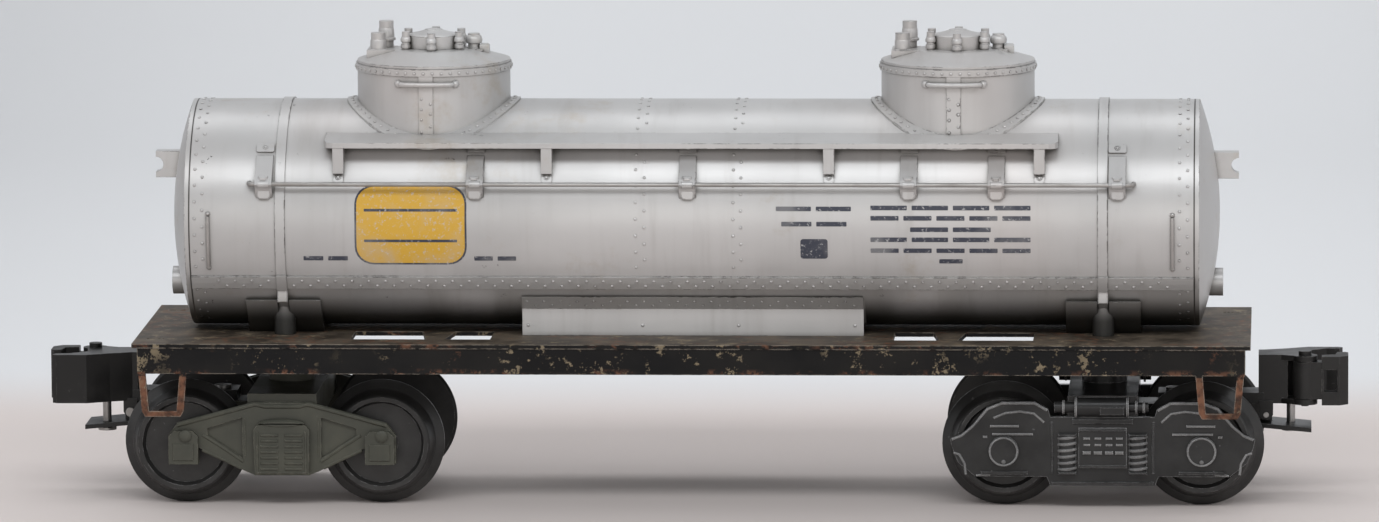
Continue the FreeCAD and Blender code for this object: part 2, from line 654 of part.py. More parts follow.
def truck_core(body):
    """The bolster across the truck, its pivot boss and the tab that carries the coupler."""
    beam = sketch_on(body, "XY_Plane", "bolster_low")
    rectangle(beam, "-bolster_half", "bolster_half", "-frame_inner - 0.5", "frame_inner + 0.5")
    pad(body, beam, "bolster_top - bolster_low")
    boss = sketch_on(body, "XY_Plane", "bolster_low")
    circle(boss, "0", "0", "washer_radius")
    pad(body, boss, "boss_face - bolster_low")
    tab = sketch_on(body, "XY_Plane", "bolster_low")
    rectangle(tab, "0", "tab_end", "-tab_width / 2", "tab_width / 2")
    pad(body, tab, "tab_thick")
    holes = sketch_on(body, "XY_Plane", "bolster_low")
    circle(holes, "0", "0", "stud_radius + running")
    for place in ("rivet_near", "rivet_far"):
        circle(holes, place, "0", "coupler_rivet_radius + snug")
    pocket(body, holes, "boss_face - bolster_low")


def truck_finish(body, label, end):
    """Drill both side frames for the axles, and name the truck."""
    drawn = sketch_on(body, "XZ_Plane", "-axle_half - slim")
    for place in ("axle_place", "-axle_place"):
        circle(drawn, place, "axle_height", "axle_radius + snug")
    pocket(body, drawn, "2 * axle_half + 2 * slim")
    return node(label, at_truck(body, end))


def arch_bar_frame():
    """Left truck: tapering arch bars, a ribbed spring block and square journal boxes."""
    body = new_body("arch_bar_moulding")
    truck_core(body)
    half = over_axle([
        (5.0, -5.6), (7.1, -4.7), ("axle_place - 2.7", -0.4), ("axle_place - 2.7", -3.4),
        ("axle_place + 2.9", -3.4), ("axle_place + 2.9", 1.9), ("axle_place + 1.4", 3.8), (4.9, 8.0),
    ])
    outline = half + [mirror_x(corner) for corner in reversed(half)]
    side_pads(body, [outline], "frame_inner", "frame_thick")
    panel = over_axle([("axle_place - 4.4", 1.6), ("axle_place - 4.4", 3.2), (7.3, 5.2), (7.3, -2.4)])
    panels = both(panel, mirror_x)
    recess = sketch_on(body, "XZ_Plane", "frame_outer - web_recess")
    for shape in panels:
        polygon(recess, shape)
    pocket(body, recess, "web_recess")
    far_recess = sketch_on(body, "XZ_Plane", "-frame_outer")
    for shape in panels:
        polygon(far_recess, shape)
    pocket(body, far_recess, "web_recess")
    block = over_axle([(-5.0, -5.3), (-5.2, 3.0), (-4.4, 3.9), (4.4, 3.9), (5.2, 3.0), (5.0, -5.3)])
    side_pads(body, [block], "frame_outer", "spring_proud")
    journal = [(-2.7, -3.4), (-2.7, 1.8), (-1.7, 2.8), (1.7, 2.8), (2.7, 1.8), (2.7, -3.4)]
    boxes = [over_axle([(f"{centre} + {across}", up) for across, up in journal])
             for centre in ("axle_place", "-axle_place")]
    side_pads(body, boxes, "frame_outer", "journal_proud")
    return truck_finish(body, "truck_frame_left", "left")


def roller_frame():
    """Right truck: cast side frames with roller-bearing caps, coil springs and a cylinder."""
    body = new_body("roller_moulding")
    truck_core(body)
    half = over_axle([
        (9.6, -7.1), (10.3, -5.4), ("axle_place + 5.2", -5.4), ("axle_place + 8.4", -2.8),
        ("axle_place + 9.6", 0.2), ("axle_place + 9.8", 1.5), ("axle_place + 7.8", 2.3),
        ("axle_place + 5.7", 4.2), ("axle_place + 3.1", 7.4), ("axle_place + 0.3", 8.5),
        ("axle_place - 5.8", 8.5), (10.0, 7.1), (9.6, 5.7),
    ])
    outline = half + [mirror_x(corner) for corner in reversed(half)]
    side_pads(body, [outline], "frame_inner", "frame_thick")
    centre = over_axle([(-4.4, -3.7), (4.4, -3.7), (4.4, 3.7), (-4.4, 3.7)])
    side_pads(body, [centre], "frame_outer - web_recess", "centre_proud + web_recess")
    for offset in ("frame_outer", "-(frame_outer + journal_proud)"):
        caps = sketch_on(body, "XZ_Plane", offset)
        for place in ("axle_place", "-axle_place"):
            circle(caps, place, "axle_height - cap_drop", "cap_radius")
        pad(body, caps, "journal_proud")
    cylinder = [(-8.9, 0), (-8.9, 1.0), (-4.9, 1.0), (-4.9, 1.75), (4.7, 1.75), (4.7, 0.9),
                (8.4, 0.9), (8.4, 0)]
    spring = [(0, -4.4), (1.65, -4.4), (1.65, 2.3), (0, 2.3)]
    for side in ("", "-"):
        depth = f"{side}(frame_outer - turned_sunk)"
        turned(body, depth, ("0", "axle_height + cylinder_rise"), cylinder, "H_Axis")
        for place in ("spring_place", "-spring_place"):
            turned(body, depth, (place, "axle_height"), spring, "V_Axis")
    return truck_finish(body, "truck_frame_right", "right")


def axle(label, end, place):
    """A steel axle with a thick middle that keeps the two wheels apart."""
    body = new_body("axle_bar")
    drawn = sketch_on(body, "XY_Plane")
    shoulder = "wheel_back - gap / 2"
    polygon(drawn, [
        ("0", "-axle_half"), ("axle_radius", "-axle_half"), ("axle_radius", f"-({shoulder})"),
        ("axle_shoulder", f"-({shoulder})"), ("axle_shoulder", shoulder),
        ("axle_radius", shoulder), ("axle_radius", "axle_half"), ("0", "axle_half"),
    ])
    revolve(body, drawn, "V_Axis")
    if end == "left":
        return node(label, put(body, (f"-truck_centre - ({place})", "0", "axle_height"), 180))
    return node(label, put(body, (f"truck_centre + {place}", "0", "axle_height")))


def wheel(label, end, place, front):
    """A wheel with a deep flange, a coned tread, a dished face and a hub."""
    body = new_body("wheel_casting")
    drawn = sketch_on(body, "XY_Plane")
    tread_start = "wheel_back + flange_thick + 0.7"
    edge = "tread_radius - tread_taper"
    polygon(drawn, [
        ("axle_radius + running", "wheel_back"), ("flange_radius - 0.5", "wheel_back"),
        ("flange_radius", "wheel_back + 0.4"), ("flange_radius", "wheel_back + flange_thick - 0.3"),
        ("flange_radius - 0.4", "wheel_back + flange_thick"),
        ("tread_radius + 0.2", tread_start), ("tread_radius", f"{tread_start} + 0.3"),
        (edge, "wheel_front - 0.3"), (f"{edge} - 0.3", "wheel_front"),
        (f"{edge} - wheel_rim", "wheel_front"),
        (f"{edge} - wheel_rim - 0.5", "wheel_front - wheel_dish"),
        ("hub_radius + 0.4", "wheel_front - wheel_dish"), ("hub_radius", "wheel_front + hub_proud"),
        ("axle_radius + running", "wheel_front + hub_proud"),
    ])
    revolve(body, drawn, "V_Axis")
    turn = 180 if front else 0
    across = f"-truck_centre - ({place})" if end == "left" else f"truck_centre + {place}"
    return node(label, put(body, (across, "0", "axle_height"), turn))


def pivot_parts(end):
    """The headed stud that the truck turns on, its washer and its spring clip."""
    stud = new_body("pivot_stud")
    drawn = sketch_on(stud, "XZ_Plane")
    polygon(drawn, [
        ("0", "clip_low - stud_tail"), ("stud_radius", "clip_low - stud_tail"),
        ("stud_radius", "clip_low - snug"), ("stud_radius - groove_depth", "clip_low - snug"),
        ("stud_radius - groove_depth", "clip_top + snug"), ("stud_radius", "clip_top + snug"),
        ("stud_radius", "cup_floor + snug"), ("stud_head_radius", "cup_floor + snug"),
        ("stud_head_radius - 0.4", "cup_floor + stud_head"), ("0", "cup_floor + stud_head"),
    ])
    revolve(stud, drawn, "V_Axis")
    node(f"pivot_stud_{end}", at_truck(stud, end))

    ring = rod("washer_radius", "washer_thick", ("0", "0", "0"))
    hole = rod("stud_radius + running", "washer_thick + 2", ("0", "0", "-1"))
    node(f"pivot_washer_{end}", at_truck(cut(ring, [hole]), end, "boss_face"))

    disc = rod("clip_radius", "clip_thick", ("0", "0", "0"))
    bore = rod("stud_radius - groove_depth + snug", "clip_thick + 2", ("0", "0", "-1"))
    mouth = box(("0", "groove_depth - stud_radius", "-1"),
                ("clip_radius + 1", "stud_radius - groove_depth", "clip_thick + 1"))
    node(f"pivot_clip_{end}", at_truck(cut(disc, [bore, mouth]), end, "clip_low"))


def coupler_head(end):
    """The coupler's casting: shank, head block, guard arm and two lugs round the knuckle."""
    body = new_body("coupler_casting")
    shank = sketch_on(body, "XY_Plane", "shank_low")
    rectangle(shank, "shank_start", "head_start + 1", "-tab_width / 2 + 0.5", "tab_width / 2 - 0.5")
    pad(body, shank, "shank_thick")
    block = sketch_on(body, "XY_Plane", "coupler_low")
    half = "head_half_width"
    polygon(block, [
        ("head_start", f"-{half}"), ("pin_out - 3.2", f"-{half}"), ("pin_out - 3.2", "-0.6"),
        ("pin_out - 0.6", "0.8"), ("pin_out + 1.7", "3.3"), ("pin_out + 4", "5.0"),
        ("coupler_reach - 1.6", "5.2"), ("coupler_reach - 1", "guard_side - 0.6"),
        ("coupler_reach - 1.8", "guard_side"), ("pin_out + 0.6", "guard_side"),
        ("head_end - 1", "5.0"), ("head_start + 1", half), ("head_start", half),
    ])
    pad(body, block, "coupler_top - coupler_low")
    for low in ("coupler_low", "coupler_top - lug_plate"):
        ears = sketch_on(body, "XY_Plane", low)
        circle(ears, "pin_out", "-pin_side", "barrel_radius")
        pad(body, ears, "lug_plate")
        bridge = sketch_on(body, "XY_Plane", low)
        polygon(bridge, [
            ("head_end - 2", "-3.3"), ("pin_out - 0.4", "-pin_side - 1.9"),
            ("pin_out + 1.6", "-pin_side + 0.4"), ("pin_out + 0.8", "1.6"), ("head_end - 2", "1.6"),
        ])
        pad(body, bridge, "lug_plate")
    ears = sketch_on(body, "XZ_Plane", "ear_inner")
    ear = [("flap_pin_out - 1.3", "coupler_low + 0.5"), ("flap_pin_out - 1.3", "flap_pin_height"),
           ("flap_pin_out - 0.6", "flap_pin_height - 0.9"),
           ("flap_pin_out + 0.6", "flap_pin_height - 0.9"),
           ("flap_pin_out + 1.3", "flap_pin_height"), ("flap_pin_out + 1.3", "coupler_low + 0.5")]
    polygon(ears, ear)
    pad(body, ears, "flap_ear")
    far_ears = sketch_on(body, "XZ_Plane", "-ear_inner - flap_ear")
    polygon(far_ears, ear)
    pad(body, far_ears, "flap_ear")
    drilled = sketch_on(body, "XY_Plane", "coupler_low - 1")
    circle(drilled, "pin_out", "-pin_side", "pin_radius + snug")
    for place in ("rivet_near", "rivet_far"):
        circle(drilled, place, "0", "coupler_rivet_radius + snug")
    pocket(body, drilled, "coupler_top - coupler_low + 2")
    well = sketch_on(body, "XY_Plane", "coupler_low")
    circle(well, "plunger_out", "plunger_side", "plunger_radius + plunger_play")
    pocket(body, well, "plunger_top - coupler_low + gap")
    across = sketch_on(body, "XZ_Plane", "-flap_width")
    circle(across, "flap_pin_out", "flap_pin_height", "flap_pin_radius + snug")
    pocket(body, across, "2 * flap_width")
    return node(f"coupler_head_{end}", at_truck(body, end))


def coupler_rivets(end):
    """Two rivets that fasten the coupler's shank to the truck's tab."""
    rivets = []
    top = "shank_low + shank_thick"
    for place in ("rivet_near", "rivet_far"):
        shank = rod("coupler_rivet_radius", f"{top} - bolster_low", (place, "0", "bolster_low"))
        upper = rod("coupler_rivet_radius + 0.7", "0.6", (place, "0", top))
        lower = rod("coupler_rivet_radius + 0.7", "0.6", (place, "0", "bolster_low - 0.6"))
        rivets.append(fuse([shank, upper, lower]))
    group = doc.addObject("Part::Compound", "rivet_pair")
    group.Links = rivets
    return node(f"coupler_rivets_{end}", at_truck(group, end))


def knuckle(end):
    """The hooked knuckle, which swings open round its pin."""
    body = new_body("knuckle_casting")
    reach = "coupler_reach"
    side = "knuckle_side"
    root = sketch_on(body, "XY_Plane", "barrel_low")
    polygon(root, [
        ("pin_out - 1.2", "-pin_side - 1.9"), (f"{reach} - 3", f"-{side}"),
        (f"{reach} - 3", "-pin_side + 0.4"), ("pin_out + 1.4", "-pin_side + 1.8"),
        ("pin_out - 1.0", "-pin_side + 1.7"),
    ])
    pad(body, root, "barrel_top - barrel_low")
    barrel = sketch_on(body, "XY_Plane", "barrel_low")
    circle(barrel, "pin_out", "-pin_side", "barrel_radius")
    pad(body, barrel, "barrel_top - barrel_low")
    hook = sketch_on(body, "XY_Plane", "coupler_low")
    polygon(hook, [
        ("pin_out + barrel_radius + 0.8", f"-{side}"), (f"{reach} - 1.6", f"-{side}"),
        (reach, f"1.6 - {side}"), (reach, "nose_tip - 0.6"), (f"{reach} - 0.6", "nose_tip"),
        (f"{reach} - nose_thick", "nose_tip - 0.2"), (f"{reach} - nose_thick - 0.4", "-2.6"),
        ("pin_out + barrel_radius + 0.8", "-pin_side + 0.2"),
    ])
    pad(body, hook, "coupler_top - coupler_low")
    slot = sketch_on(body, "XZ_Plane", "-8")
    rectangle(slot, "pin_out + barrel_radius + 1.2", f"{reach} - nose_thick",
              "coupler_middle - knuckle_slot / 2", "coupler_middle + knuckle_slot / 2")
    hole = sketch_on(body, "XY_Plane", "coupler_low - 1")
    circle(hole, "pin_out", "-pin_side", "pin_radius + running")
    pocket(body, slot, "16")
    pocket(body, hole, "coupler_top - coupler_low + 2")
    return node(f"knuckle_{end}", at_truck(body, end))


def knuckle_pin(end):
    shank = rod("pin_radius", "coupler_top - coupler_low + 0.4",
                ("pin_out", "-pin_side", "coupler_low - 0.4"))
    head = rod("pin_radius + 0.5", "pin_head", ("pin_out", "-pin_side", "coupler_top"))
    return node(f"knuckle_pin_{end}", at_truck(fuse([shank, head]), end))


def flap_parts(end):
    """The steel uncoupling flap, its hinge pin and the plunger that it carries."""
    flap = new_body("flap_pressing")
    leaf = sketch_on(flap, "XZ_Plane", "-flap_width / 2")
    top = "flap_pin_height - flap_barrel - gap"
    tip = f"{top} - flap_fall"
    polygon(leaf, [
        ("flap_pin_out - flap_barrel", top), ("flap_end", tip),
        ("flap_end", f"{tip} - flap_thick"), ("flap_pin_out - flap_barrel", f"{top} - flap_thick"),
    ])
    pad(flap, leaf, "flap_width")
    hinge = sketch_on(flap, "XZ_Plane", "gap - ear_inner")
    polygon(hinge, [
        ("flap_pin_out - flap_barrel", f"{top} - flap_thick / 2"),
        ("flap_pin_out - flap_barrel", "flap_pin_height"),
        ("flap_pin_out - flap_barrel / 2", "flap_pin_height + flap_barrel"),
        ("flap_pin_out + flap_barrel / 2", "flap_pin_height + flap_barrel"),
        ("flap_pin_out + flap_barrel", "flap_pin_height"),
        ("flap_pin_out + flap_barrel", f"{top} - flap_thick / 2"),
    ])
    pad(flap, hinge, "ear_inner - gap")
    eye = sketch_on(flap, "XZ_Plane", "-flap_width")
    circle(eye, "flap_pin_out", "flap_pin_height", "flap_pin_radius + running")
    pocket(flap, eye, "2 * flap_width")
    seat = sketch_on(flap, "XY_Plane", "0")
    circle(seat, "plunger_out", "plunger_side", "plunger_radius + snug")
    pocket(flap, seat, "coupler_low")
    node(f"uncoupling_flap_{end}", at_truck(flap, end))

    outer = "ear_inner + flap_ear"
    pin = rod("flap_pin_radius", f"2 * ({outer}) + 0.6",
              ("flap_pin_out", f"-({outer}) - 0.3", "flap_pin_height"), "y")
    head = rod("flap_pin_radius + 0.35", "0.4", ("flap_pin_out", f"{outer} + 0.05",
                                                 "flap_pin_height"), "y")
    node(f"flap_pin_{end}", at_truck(fuse([pin, head]), end))

    low = f"{tip} - flap_thick"
    stem = rod("plunger_radius", f"plunger_top - ({low})", ("plunger_out", "plunger_side", low))
    button = rod("plunger_radius + 0.9", "0.5", ("plunger_out", "plunger_side", f"{low} - 0.5"))
    node(f"lock_plunger_{end}", at_truck(fuse([stem, button]), end))


def flap_spring(end):
    """A coil round the flap's pin, drawn as a helix with a round wire."""
    wire = SIZES["spring_wire"]
    radius = SIZES["flap_pin_radius"] + SIZES["slim"] + wire
    pitch = 2.6 * wire
    height = pitch * SIZES["spring_turns"]
    helix = Part.makeHelix(pitch, height, radius)
    section = Part.Wire(Part.makeCircle(wire, FreeCAD.Vector(radius, 0, 0),
                                        FreeCAD.Vector(0, 1, 0)))
    coil = Part.Wire(helix.Edges).makePipeShell([section], True, True)
    made = doc.addObject("Part::Feature", "flap_coil")
    made.Shape = coil
    across = f"ear_inner - gap - {height}"
    if end == "left":
        put(made, ("-truck_centre - flap_pin_out", across, "flap_pin_height"), -90, (1, 0, 0))
    else:
        put(made, ("truck_centre + flap_pin_out", f"-({across})", "flap_pin_height"), 90, (1, 0, 0))
    return node(f"flap_spring_{end}", made)


def truck(end, side_frames):
    """One truck with its wheels, pivot and coupler."""
    side_frames()
    for name, place in (("outer", "axle_place"), ("inner", "-axle_place")):
        axle(f"axle_{end}_{name}", end, place)
        for side, front in (("front", True), ("rear", False)):
            wheel(f"wheel_{end}_{name}_{side}", end, place, front)
    pivot_parts(end)
    coupler_head(end)
    coupler_rivets(end)
    knuckle(end)
    knuckle_pin(end)
    flap_parts(end)
    flap_spring(end)


# ---------------------------------------------------------------------------------------------
# Build, check and write every piece
# ---------------------------------------------------------------------------------------------
frame()
tank_shell()
handrail("handrail_front", 0)
handrail("handrail_rear", 180)
tank_head("tank_head_right", 0)
tank_head("tank_head_left", 180)
dome_cap("dome_cap_left", "-")
dome_cap("dome_cap_right", "")
tank_screws()
truck("left", arch_bar_frame)
truck("right", roller_frame)
doc.recompute()

faults = []
for thing in doc.Objects:
    if "Invalid" in thing.State or "Error" in thing.State:
        faults.append(f"{thing.Name} did not build: {thing.State}")
    if thing.TypeId in ("PartDesign::Pocket", "PartDesign::Groove"):
        base = thing.BaseFeature
        if base is not None and thing.Shape.Volume > base.Shape.Volume - 1e-6:
            faults.append(f"{thing.Name} removes nothing")
for label, thing in NODES.items():
    if thing.Shape.isNull() or not thing.Shape.isValid():
        faults.append(f"{label} has no valid shape")
    elif not thing.Shape.Solids:
        faults.append(f"{label} holds no solid")
if faults:
    raise RuntimeError("; ".join(faults))

os.makedirs("parts", exist_ok=True)
for label, thing in NODES.items():
    thing.Shape.exportStep(f"parts/{label}.step")
    print(label, round(thing.Shape.Volume, 2), "mm3,", len(thing.Shape.Solids), "solid(s)")
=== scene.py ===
# %% [markdown]
# # A model tank wagon, finished in Blender
# The wagon is already designed: a frame of finished parts is loaded, each at its true size and in
# its true place. What is left is how it looks, so this lesson adds rivets, bars and springs, and
# then paints everything. Lengths are metres, X runs along the wagon and Z is up.

# %% Load the wagon
import json
import math

import bmesh
import bpy
import numpy as np
from mathutils import Matrix, Vector


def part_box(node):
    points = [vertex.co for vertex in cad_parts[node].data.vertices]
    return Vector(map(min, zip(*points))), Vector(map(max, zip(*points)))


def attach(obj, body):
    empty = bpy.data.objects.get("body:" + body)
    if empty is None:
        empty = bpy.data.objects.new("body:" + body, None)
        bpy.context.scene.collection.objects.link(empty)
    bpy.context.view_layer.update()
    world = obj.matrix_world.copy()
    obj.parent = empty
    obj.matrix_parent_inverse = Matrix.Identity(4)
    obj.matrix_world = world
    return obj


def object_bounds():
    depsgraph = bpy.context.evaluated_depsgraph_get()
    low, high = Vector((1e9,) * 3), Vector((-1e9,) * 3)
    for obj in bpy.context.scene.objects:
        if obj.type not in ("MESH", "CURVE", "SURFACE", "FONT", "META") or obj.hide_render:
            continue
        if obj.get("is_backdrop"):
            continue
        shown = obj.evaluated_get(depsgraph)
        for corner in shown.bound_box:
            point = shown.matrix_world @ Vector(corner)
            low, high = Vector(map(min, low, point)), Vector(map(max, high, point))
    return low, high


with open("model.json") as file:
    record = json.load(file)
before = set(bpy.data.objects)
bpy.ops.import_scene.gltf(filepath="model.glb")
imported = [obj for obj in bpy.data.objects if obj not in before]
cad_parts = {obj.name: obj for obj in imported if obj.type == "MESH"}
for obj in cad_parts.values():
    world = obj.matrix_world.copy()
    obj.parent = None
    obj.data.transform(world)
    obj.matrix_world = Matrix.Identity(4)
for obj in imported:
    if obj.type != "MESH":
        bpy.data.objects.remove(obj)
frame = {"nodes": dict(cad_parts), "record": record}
cad_box = [list(corner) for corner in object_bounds()]
print("pieces from the design:", len(frame["nodes"]))

# %% [markdown]
# Everything that is added has to sit on the tank, the domes or the trucks. Their places are read
# from the loaded parts, so that nothing has to be fitted by eye.

# %% Measure the parts that carry the details
MM = 0.001
head_low, head_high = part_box("tank_head_right")
_, shell_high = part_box("tank_shell")
_, deck_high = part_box("frame")
cap_low, cap_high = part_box("dome_cap_right")
AXIS_Z = (head_low.z + head_high.z) / 2
TANK_R = (head_high.z - head_low.z) / 2
TANK_HALF = shell_high.x
DECK_TOP = deck_high.z
SKIRT_LOW = DECK_TOP - 5.6 * MM
PLATE_HALF = 31.6 * MM
DOME_X = (cap_low.x + cap_high.x) / 2
DOME_TOP = shell_high.z
DOME_R = (cap_high.x - cap_low.x) / 2
AXLE_Z = sum(corner.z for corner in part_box("axle_left_outer")) / 2
TRUCK_X = {}
for end in ("left", "right"):
    corners = [corner.x for place in ("outer", "inner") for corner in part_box(f"axle_{end}_{place}")]
    TRUCK_X[end] = sum(corners) / 4
print("tank radius", round(TANK_R / MM, 2), "mm, axis at", round(AXIS_Z / MM, 2), "mm")

# %% [markdown]
# ## Camera and light
# Small models are best seen from far away through a long lens, so that their sides stay almost
# parallel. The camera stands nearly two metres off, a little to the right, and looks slightly down.

# %% Place the camera
CAMERA_PLACE = Vector((0.1098, -1.9071, 0.3017))
CAMERA_TURN = 0.05822
CAMERA_DIP = 0.13451
CAMERA_ROLL = -0.00604
SENSOR_WIDTH = 36
LENS = 270.5


def camera_axes(turn, dip, roll):
    """Axes of a camera that looks along +Y, turned left, dipped down and rolled by these angles."""
    ahead = Vector((-math.sin(turn) * math.cos(dip), math.cos(turn) * math.cos(dip), -math.sin(dip)))
    right = ahead.cross(Vector((0, 0, 1))).normalized()
    up = right.cross(ahead)
    rolled_right = math.cos(roll) * right + math.sin(roll) * up
    rolled_up = math.cos(roll) * up - math.sin(roll) * right
    return Matrix((rolled_right, rolled_up, -ahead)).transposed()


camera_data = bpy.data.cameras.new("camera")
camera_data.sensor_width = SENSOR_WIDTH
camera_data.lens = LENS
camera_data.clip_end = 20
camera = bpy.data.objects.new("camera", camera_data)
axes = camera_axes(CAMERA_TURN, CAMERA_DIP, CAMERA_ROLL).to_4x4()
camera.matrix_world = Matrix.Translation(CAMERA_PLACE) @ axes
bpy.context.scene.collection.objects.link(camera)
bpy.context.scene.camera = camera
bpy.context.scene.view_settings.view_transform = "Standard"
print("camera stands", round(-CAMERA_PLACE.y, 2), "m in front")

# %% [markdown]
# Soft light comes from large lamps. The key lamp hangs above and in front, where its reflection
# makes the long bright band along the upper side of the tank. Weaker ones fill in from the sides.

# %% Hang the lamps
# name, place, size along X and across, power in watts, colour
LAMPS = [
    ("key", (0.0, -1.05, 1.15), (2.4, 0.38), 13.2, (0.95, 0.975, 1.0)),
    ("low_front", (0.2, -1.9, 0.2), (2.8, 0.7), 8.5, (1.0, 0.975, 0.94)),
    ("left_fill", (-1.5, -0.6, 0.6), (1.2, 1.2), 2.2, (0.95, 0.97, 1.0)),
    ("right_fill", (1.5, -0.5, 0.5), (1.2, 1.2), 3.0, (0.98, 0.98, 1.0)),
    ("top", (0.0, 0.25, 1.6), (2.2, 1.2), 2.4, (0.95, 0.975, 1.0)),
    ("wall_wash", (0.0, 0.35, 0.9), (3.0, 0.3), 5.0, (0.95, 0.97, 1.0)),
]
LAMP_TARGET = Vector((0, 0, 0.05))
ROOM_COLOUR = (0.95, 0.97, 1.0, 1)
ROOM_STRENGTH = 0.35


def lamp(name, place, size, power, colour):
    """A soft oblong lamp that faces the wagon."""
    data = bpy.data.lights.new(name, "AREA")
    data.shape = "RECTANGLE"
    data.size, data.size_y = size
    data.energy = power
    data.color = colour
    thing = bpy.data.objects.new(name, data)
    aim = (LAMP_TARGET - Vector(place)).to_track_quat("-Z", "Y").to_matrix().to_4x4()
    thing.matrix_world = Matrix.Translation(place) @ aim
    bpy.context.scene.collection.objects.link(thing)


for entry in LAMPS:
    lamp(*entry)
world = bpy.data.worlds.new("room")
world.use_nodes = True
background = world.node_tree.nodes["Background"]
background.inputs["Color"].default_value = ROOM_COLOUR
background.inputs["Strength"].default_value = ROOM_STRENGTH
bpy.context.scene.world = world
print("lamps:", len(LAMPS))

# %% [markdown]
# ## Surfaces from numbers
# A shape that is a function of two numbers fills a grid of points, and neighbouring points make the
# faces. The helpers below return a shape as a pair: an array of points and a list of faces. Pairs
# can be moved about as arrays, and are joined into one object at the end.

# %% Grids, turned shapes and bars
def grid_faces(rows, columns, closed=False):
    """Faces between neighbours in a grid: a point, the next in its row, and the two above them."""
    row = np.arange(rows - 1)[:, None]
    column = np.arange(columns if closed else columns - 1)[None]
    after = (column + 1) % columns
    corners = [row * columns + column, row * columns + after,
               (row + 1) * columns + after, (row + 1) * columns + column]
    return np.stack([np.broadcast_to(corner, (rows - 1, column.size)) for corner in corners],
                    -1).reshape(-1, 4).tolist()


def circle(sides):
    """Cosine and sine of equal steps round a full turn, one row each step."""
    turn = np.linspace(0, 2 * np.pi, sides, endpoint=False)
    return np.stack([np.cos(turn), np.sin(turn)], -1)


def lathe(profile, sides=24):
    """Pairs of (radius, height) turned round the Z axis: each point is radius * (cos, sin), height."""
    profile = np.asarray(profile, float)
    flat = profile[:, None, :1] * circle(sides)[None]
    height = np.broadcast_to(profile[:, None, 1:], (len(profile), sides, 1))
    return np.concatenate([flat, height], -1).reshape(-1, 3), grid_faces(len(profile), sides, True)


def aimed(shape, centre, axis):
    """A shape with its Z axis turned along an axis, moved to a centre."""
    turn = np.array(Vector(axis).to_track_quat("Z", "Y").to_matrix())
    return shape[0] @ turn.T + np.asarray(centre, float), shape[1]


def tube(path, radius, sides=10):
    """A round bar: at each point of a path stands a ring square to the path, and both ends close."""
    path = np.asarray(path, float)
    ahead = np.gradient(path, axis=0)
    ahead /= np.linalg.norm(ahead, axis=1)[:, None]
    guide = np.array([0.21, 0.35, 0.91])
    side = np.cross(ahead, guide)
    side /= np.linalg.norm(side, axis=1)[:, None]
    over = np.cross(side, ahead)
    size = np.full(len(path), radius)
    ends = [0] + list(range(len(path))) + [-1]
    path, side, over, size = path[ends], side[ends], over[ends], size[ends]
    size[0] = size[-1] = 0
    ring = circle(sides)
    wide = side[:, None] * ring[None, :, :1] + over[:, None] * ring[None, :, 1:]
    verts = path[:, None] + size[:, None, None] * wide
    return verts.reshape(-1, 3), grid_faces(len(path), sides, True)


def slab(outline, low, high, bevel):
    """An outline in X and Y made thick along Z, its edges cut at 45 degrees by a bevel.

    Each corner moves in along both its edges' inward normals to make the smaller end outlines.
    """
    outline = np.asarray(outline, float)
    edge = np.roll(outline, -1, 0) - outline
    edge /= np.linalg.norm(edge, axis=1)[:, None]
    inward = np.stack([-edge[:, 1], edge[:, 0]], -1)
    before = np.roll(inward, 1, 0)
    shift = (inward + before) / (1 + (inward * before).sum(1))[:, None]
    small = outline + bevel * shift
    levels = [(small, low), (outline, low + bevel), (outline, high - bevel), (small, high)]
    verts = np.concatenate([np.column_stack([flat, np.full(len(flat), up)]) for flat, up in levels])
    count = len(outline)
    caps = [list(range(count))[::-1], list(range(3 * count, 4 * count))]
    return verts, grid_faces(4, count, True) + caps


def oblong(left, right, low, high):
    """The four corners of a rectangle, anticlockwise."""
    return [(left, low), (right, low), (right, high), (left, high)]


def joined(name, shapes, smooth_angle=40):
    """One object from many shapes: coinciding points merge, and faces turn outwards."""
    work = bmesh.new()
    for verts, faces in shapes:
        mesh = bpy.data.meshes.new(name)
        mesh.from_pydata(np.asarray(verts).tolist(), [], faces)
        work.from_mesh(mesh)
        bpy.data.meshes.remove(mesh)
    bmesh.ops.remove_doubles(work, verts=work.verts, dist=1e-7)
    bmesh.ops.dissolve_degenerate(work, dist=1e-8, edges=work.edges)
    bmesh.ops.recalc_face_normals(work, faces=work.faces)
    mesh = bpy.data.meshes.new(name)
    work.to_mesh(mesh)
    work.free()
    thing = bpy.data.objects.new(name, mesh)
    bpy.context.scene.collection.objects.link(thing)
    mesh.shade_smooth()
    mesh.set_sharp_from_angle(angle=math.radians(smooth_angle))
    return thing


print("shape helpers ready")

# %% [markdown]
# The wagon's two long sides are alike, so each detail is worked out once in a side's own numbers:
# along the side, up, and out from the middle. The rear side is the front one turned half round,
# never mirrored, which would turn the faces inside out.

# %% From a side's numbers to the wagon's
SIDES = {"front": -1, "rear": 1}


def on_side(shape, side, centre_x=0.0, centre_z=0.0):
    """Points given as (along, up, out) from a centre, put on the front or the rear side."""
    facing = SIDES[side]
    along, up, out = np.asarray(shape[0], float).T
    return np.stack([centre_x - facing * along, facing * out, centre_z + up], -1), shape[1]


def both_sides(shapes, centre_x=0.0, centre_z=0.0):
    """The same shapes on the front and on the rear side."""
    return [on_side(shape, side, centre_x, centre_z) for side in SIDES for shape in shapes]


def round_tank(along, angle, radius):
    """Points at a distance from the tank's axis, so many degrees above the horizontal."""
    along, angle, radius = np.broadcast_arrays(along, np.radians(angle), radius)
    return np.stack([along, radius * np.sin(angle), radius * np.cos(angle)], -1)


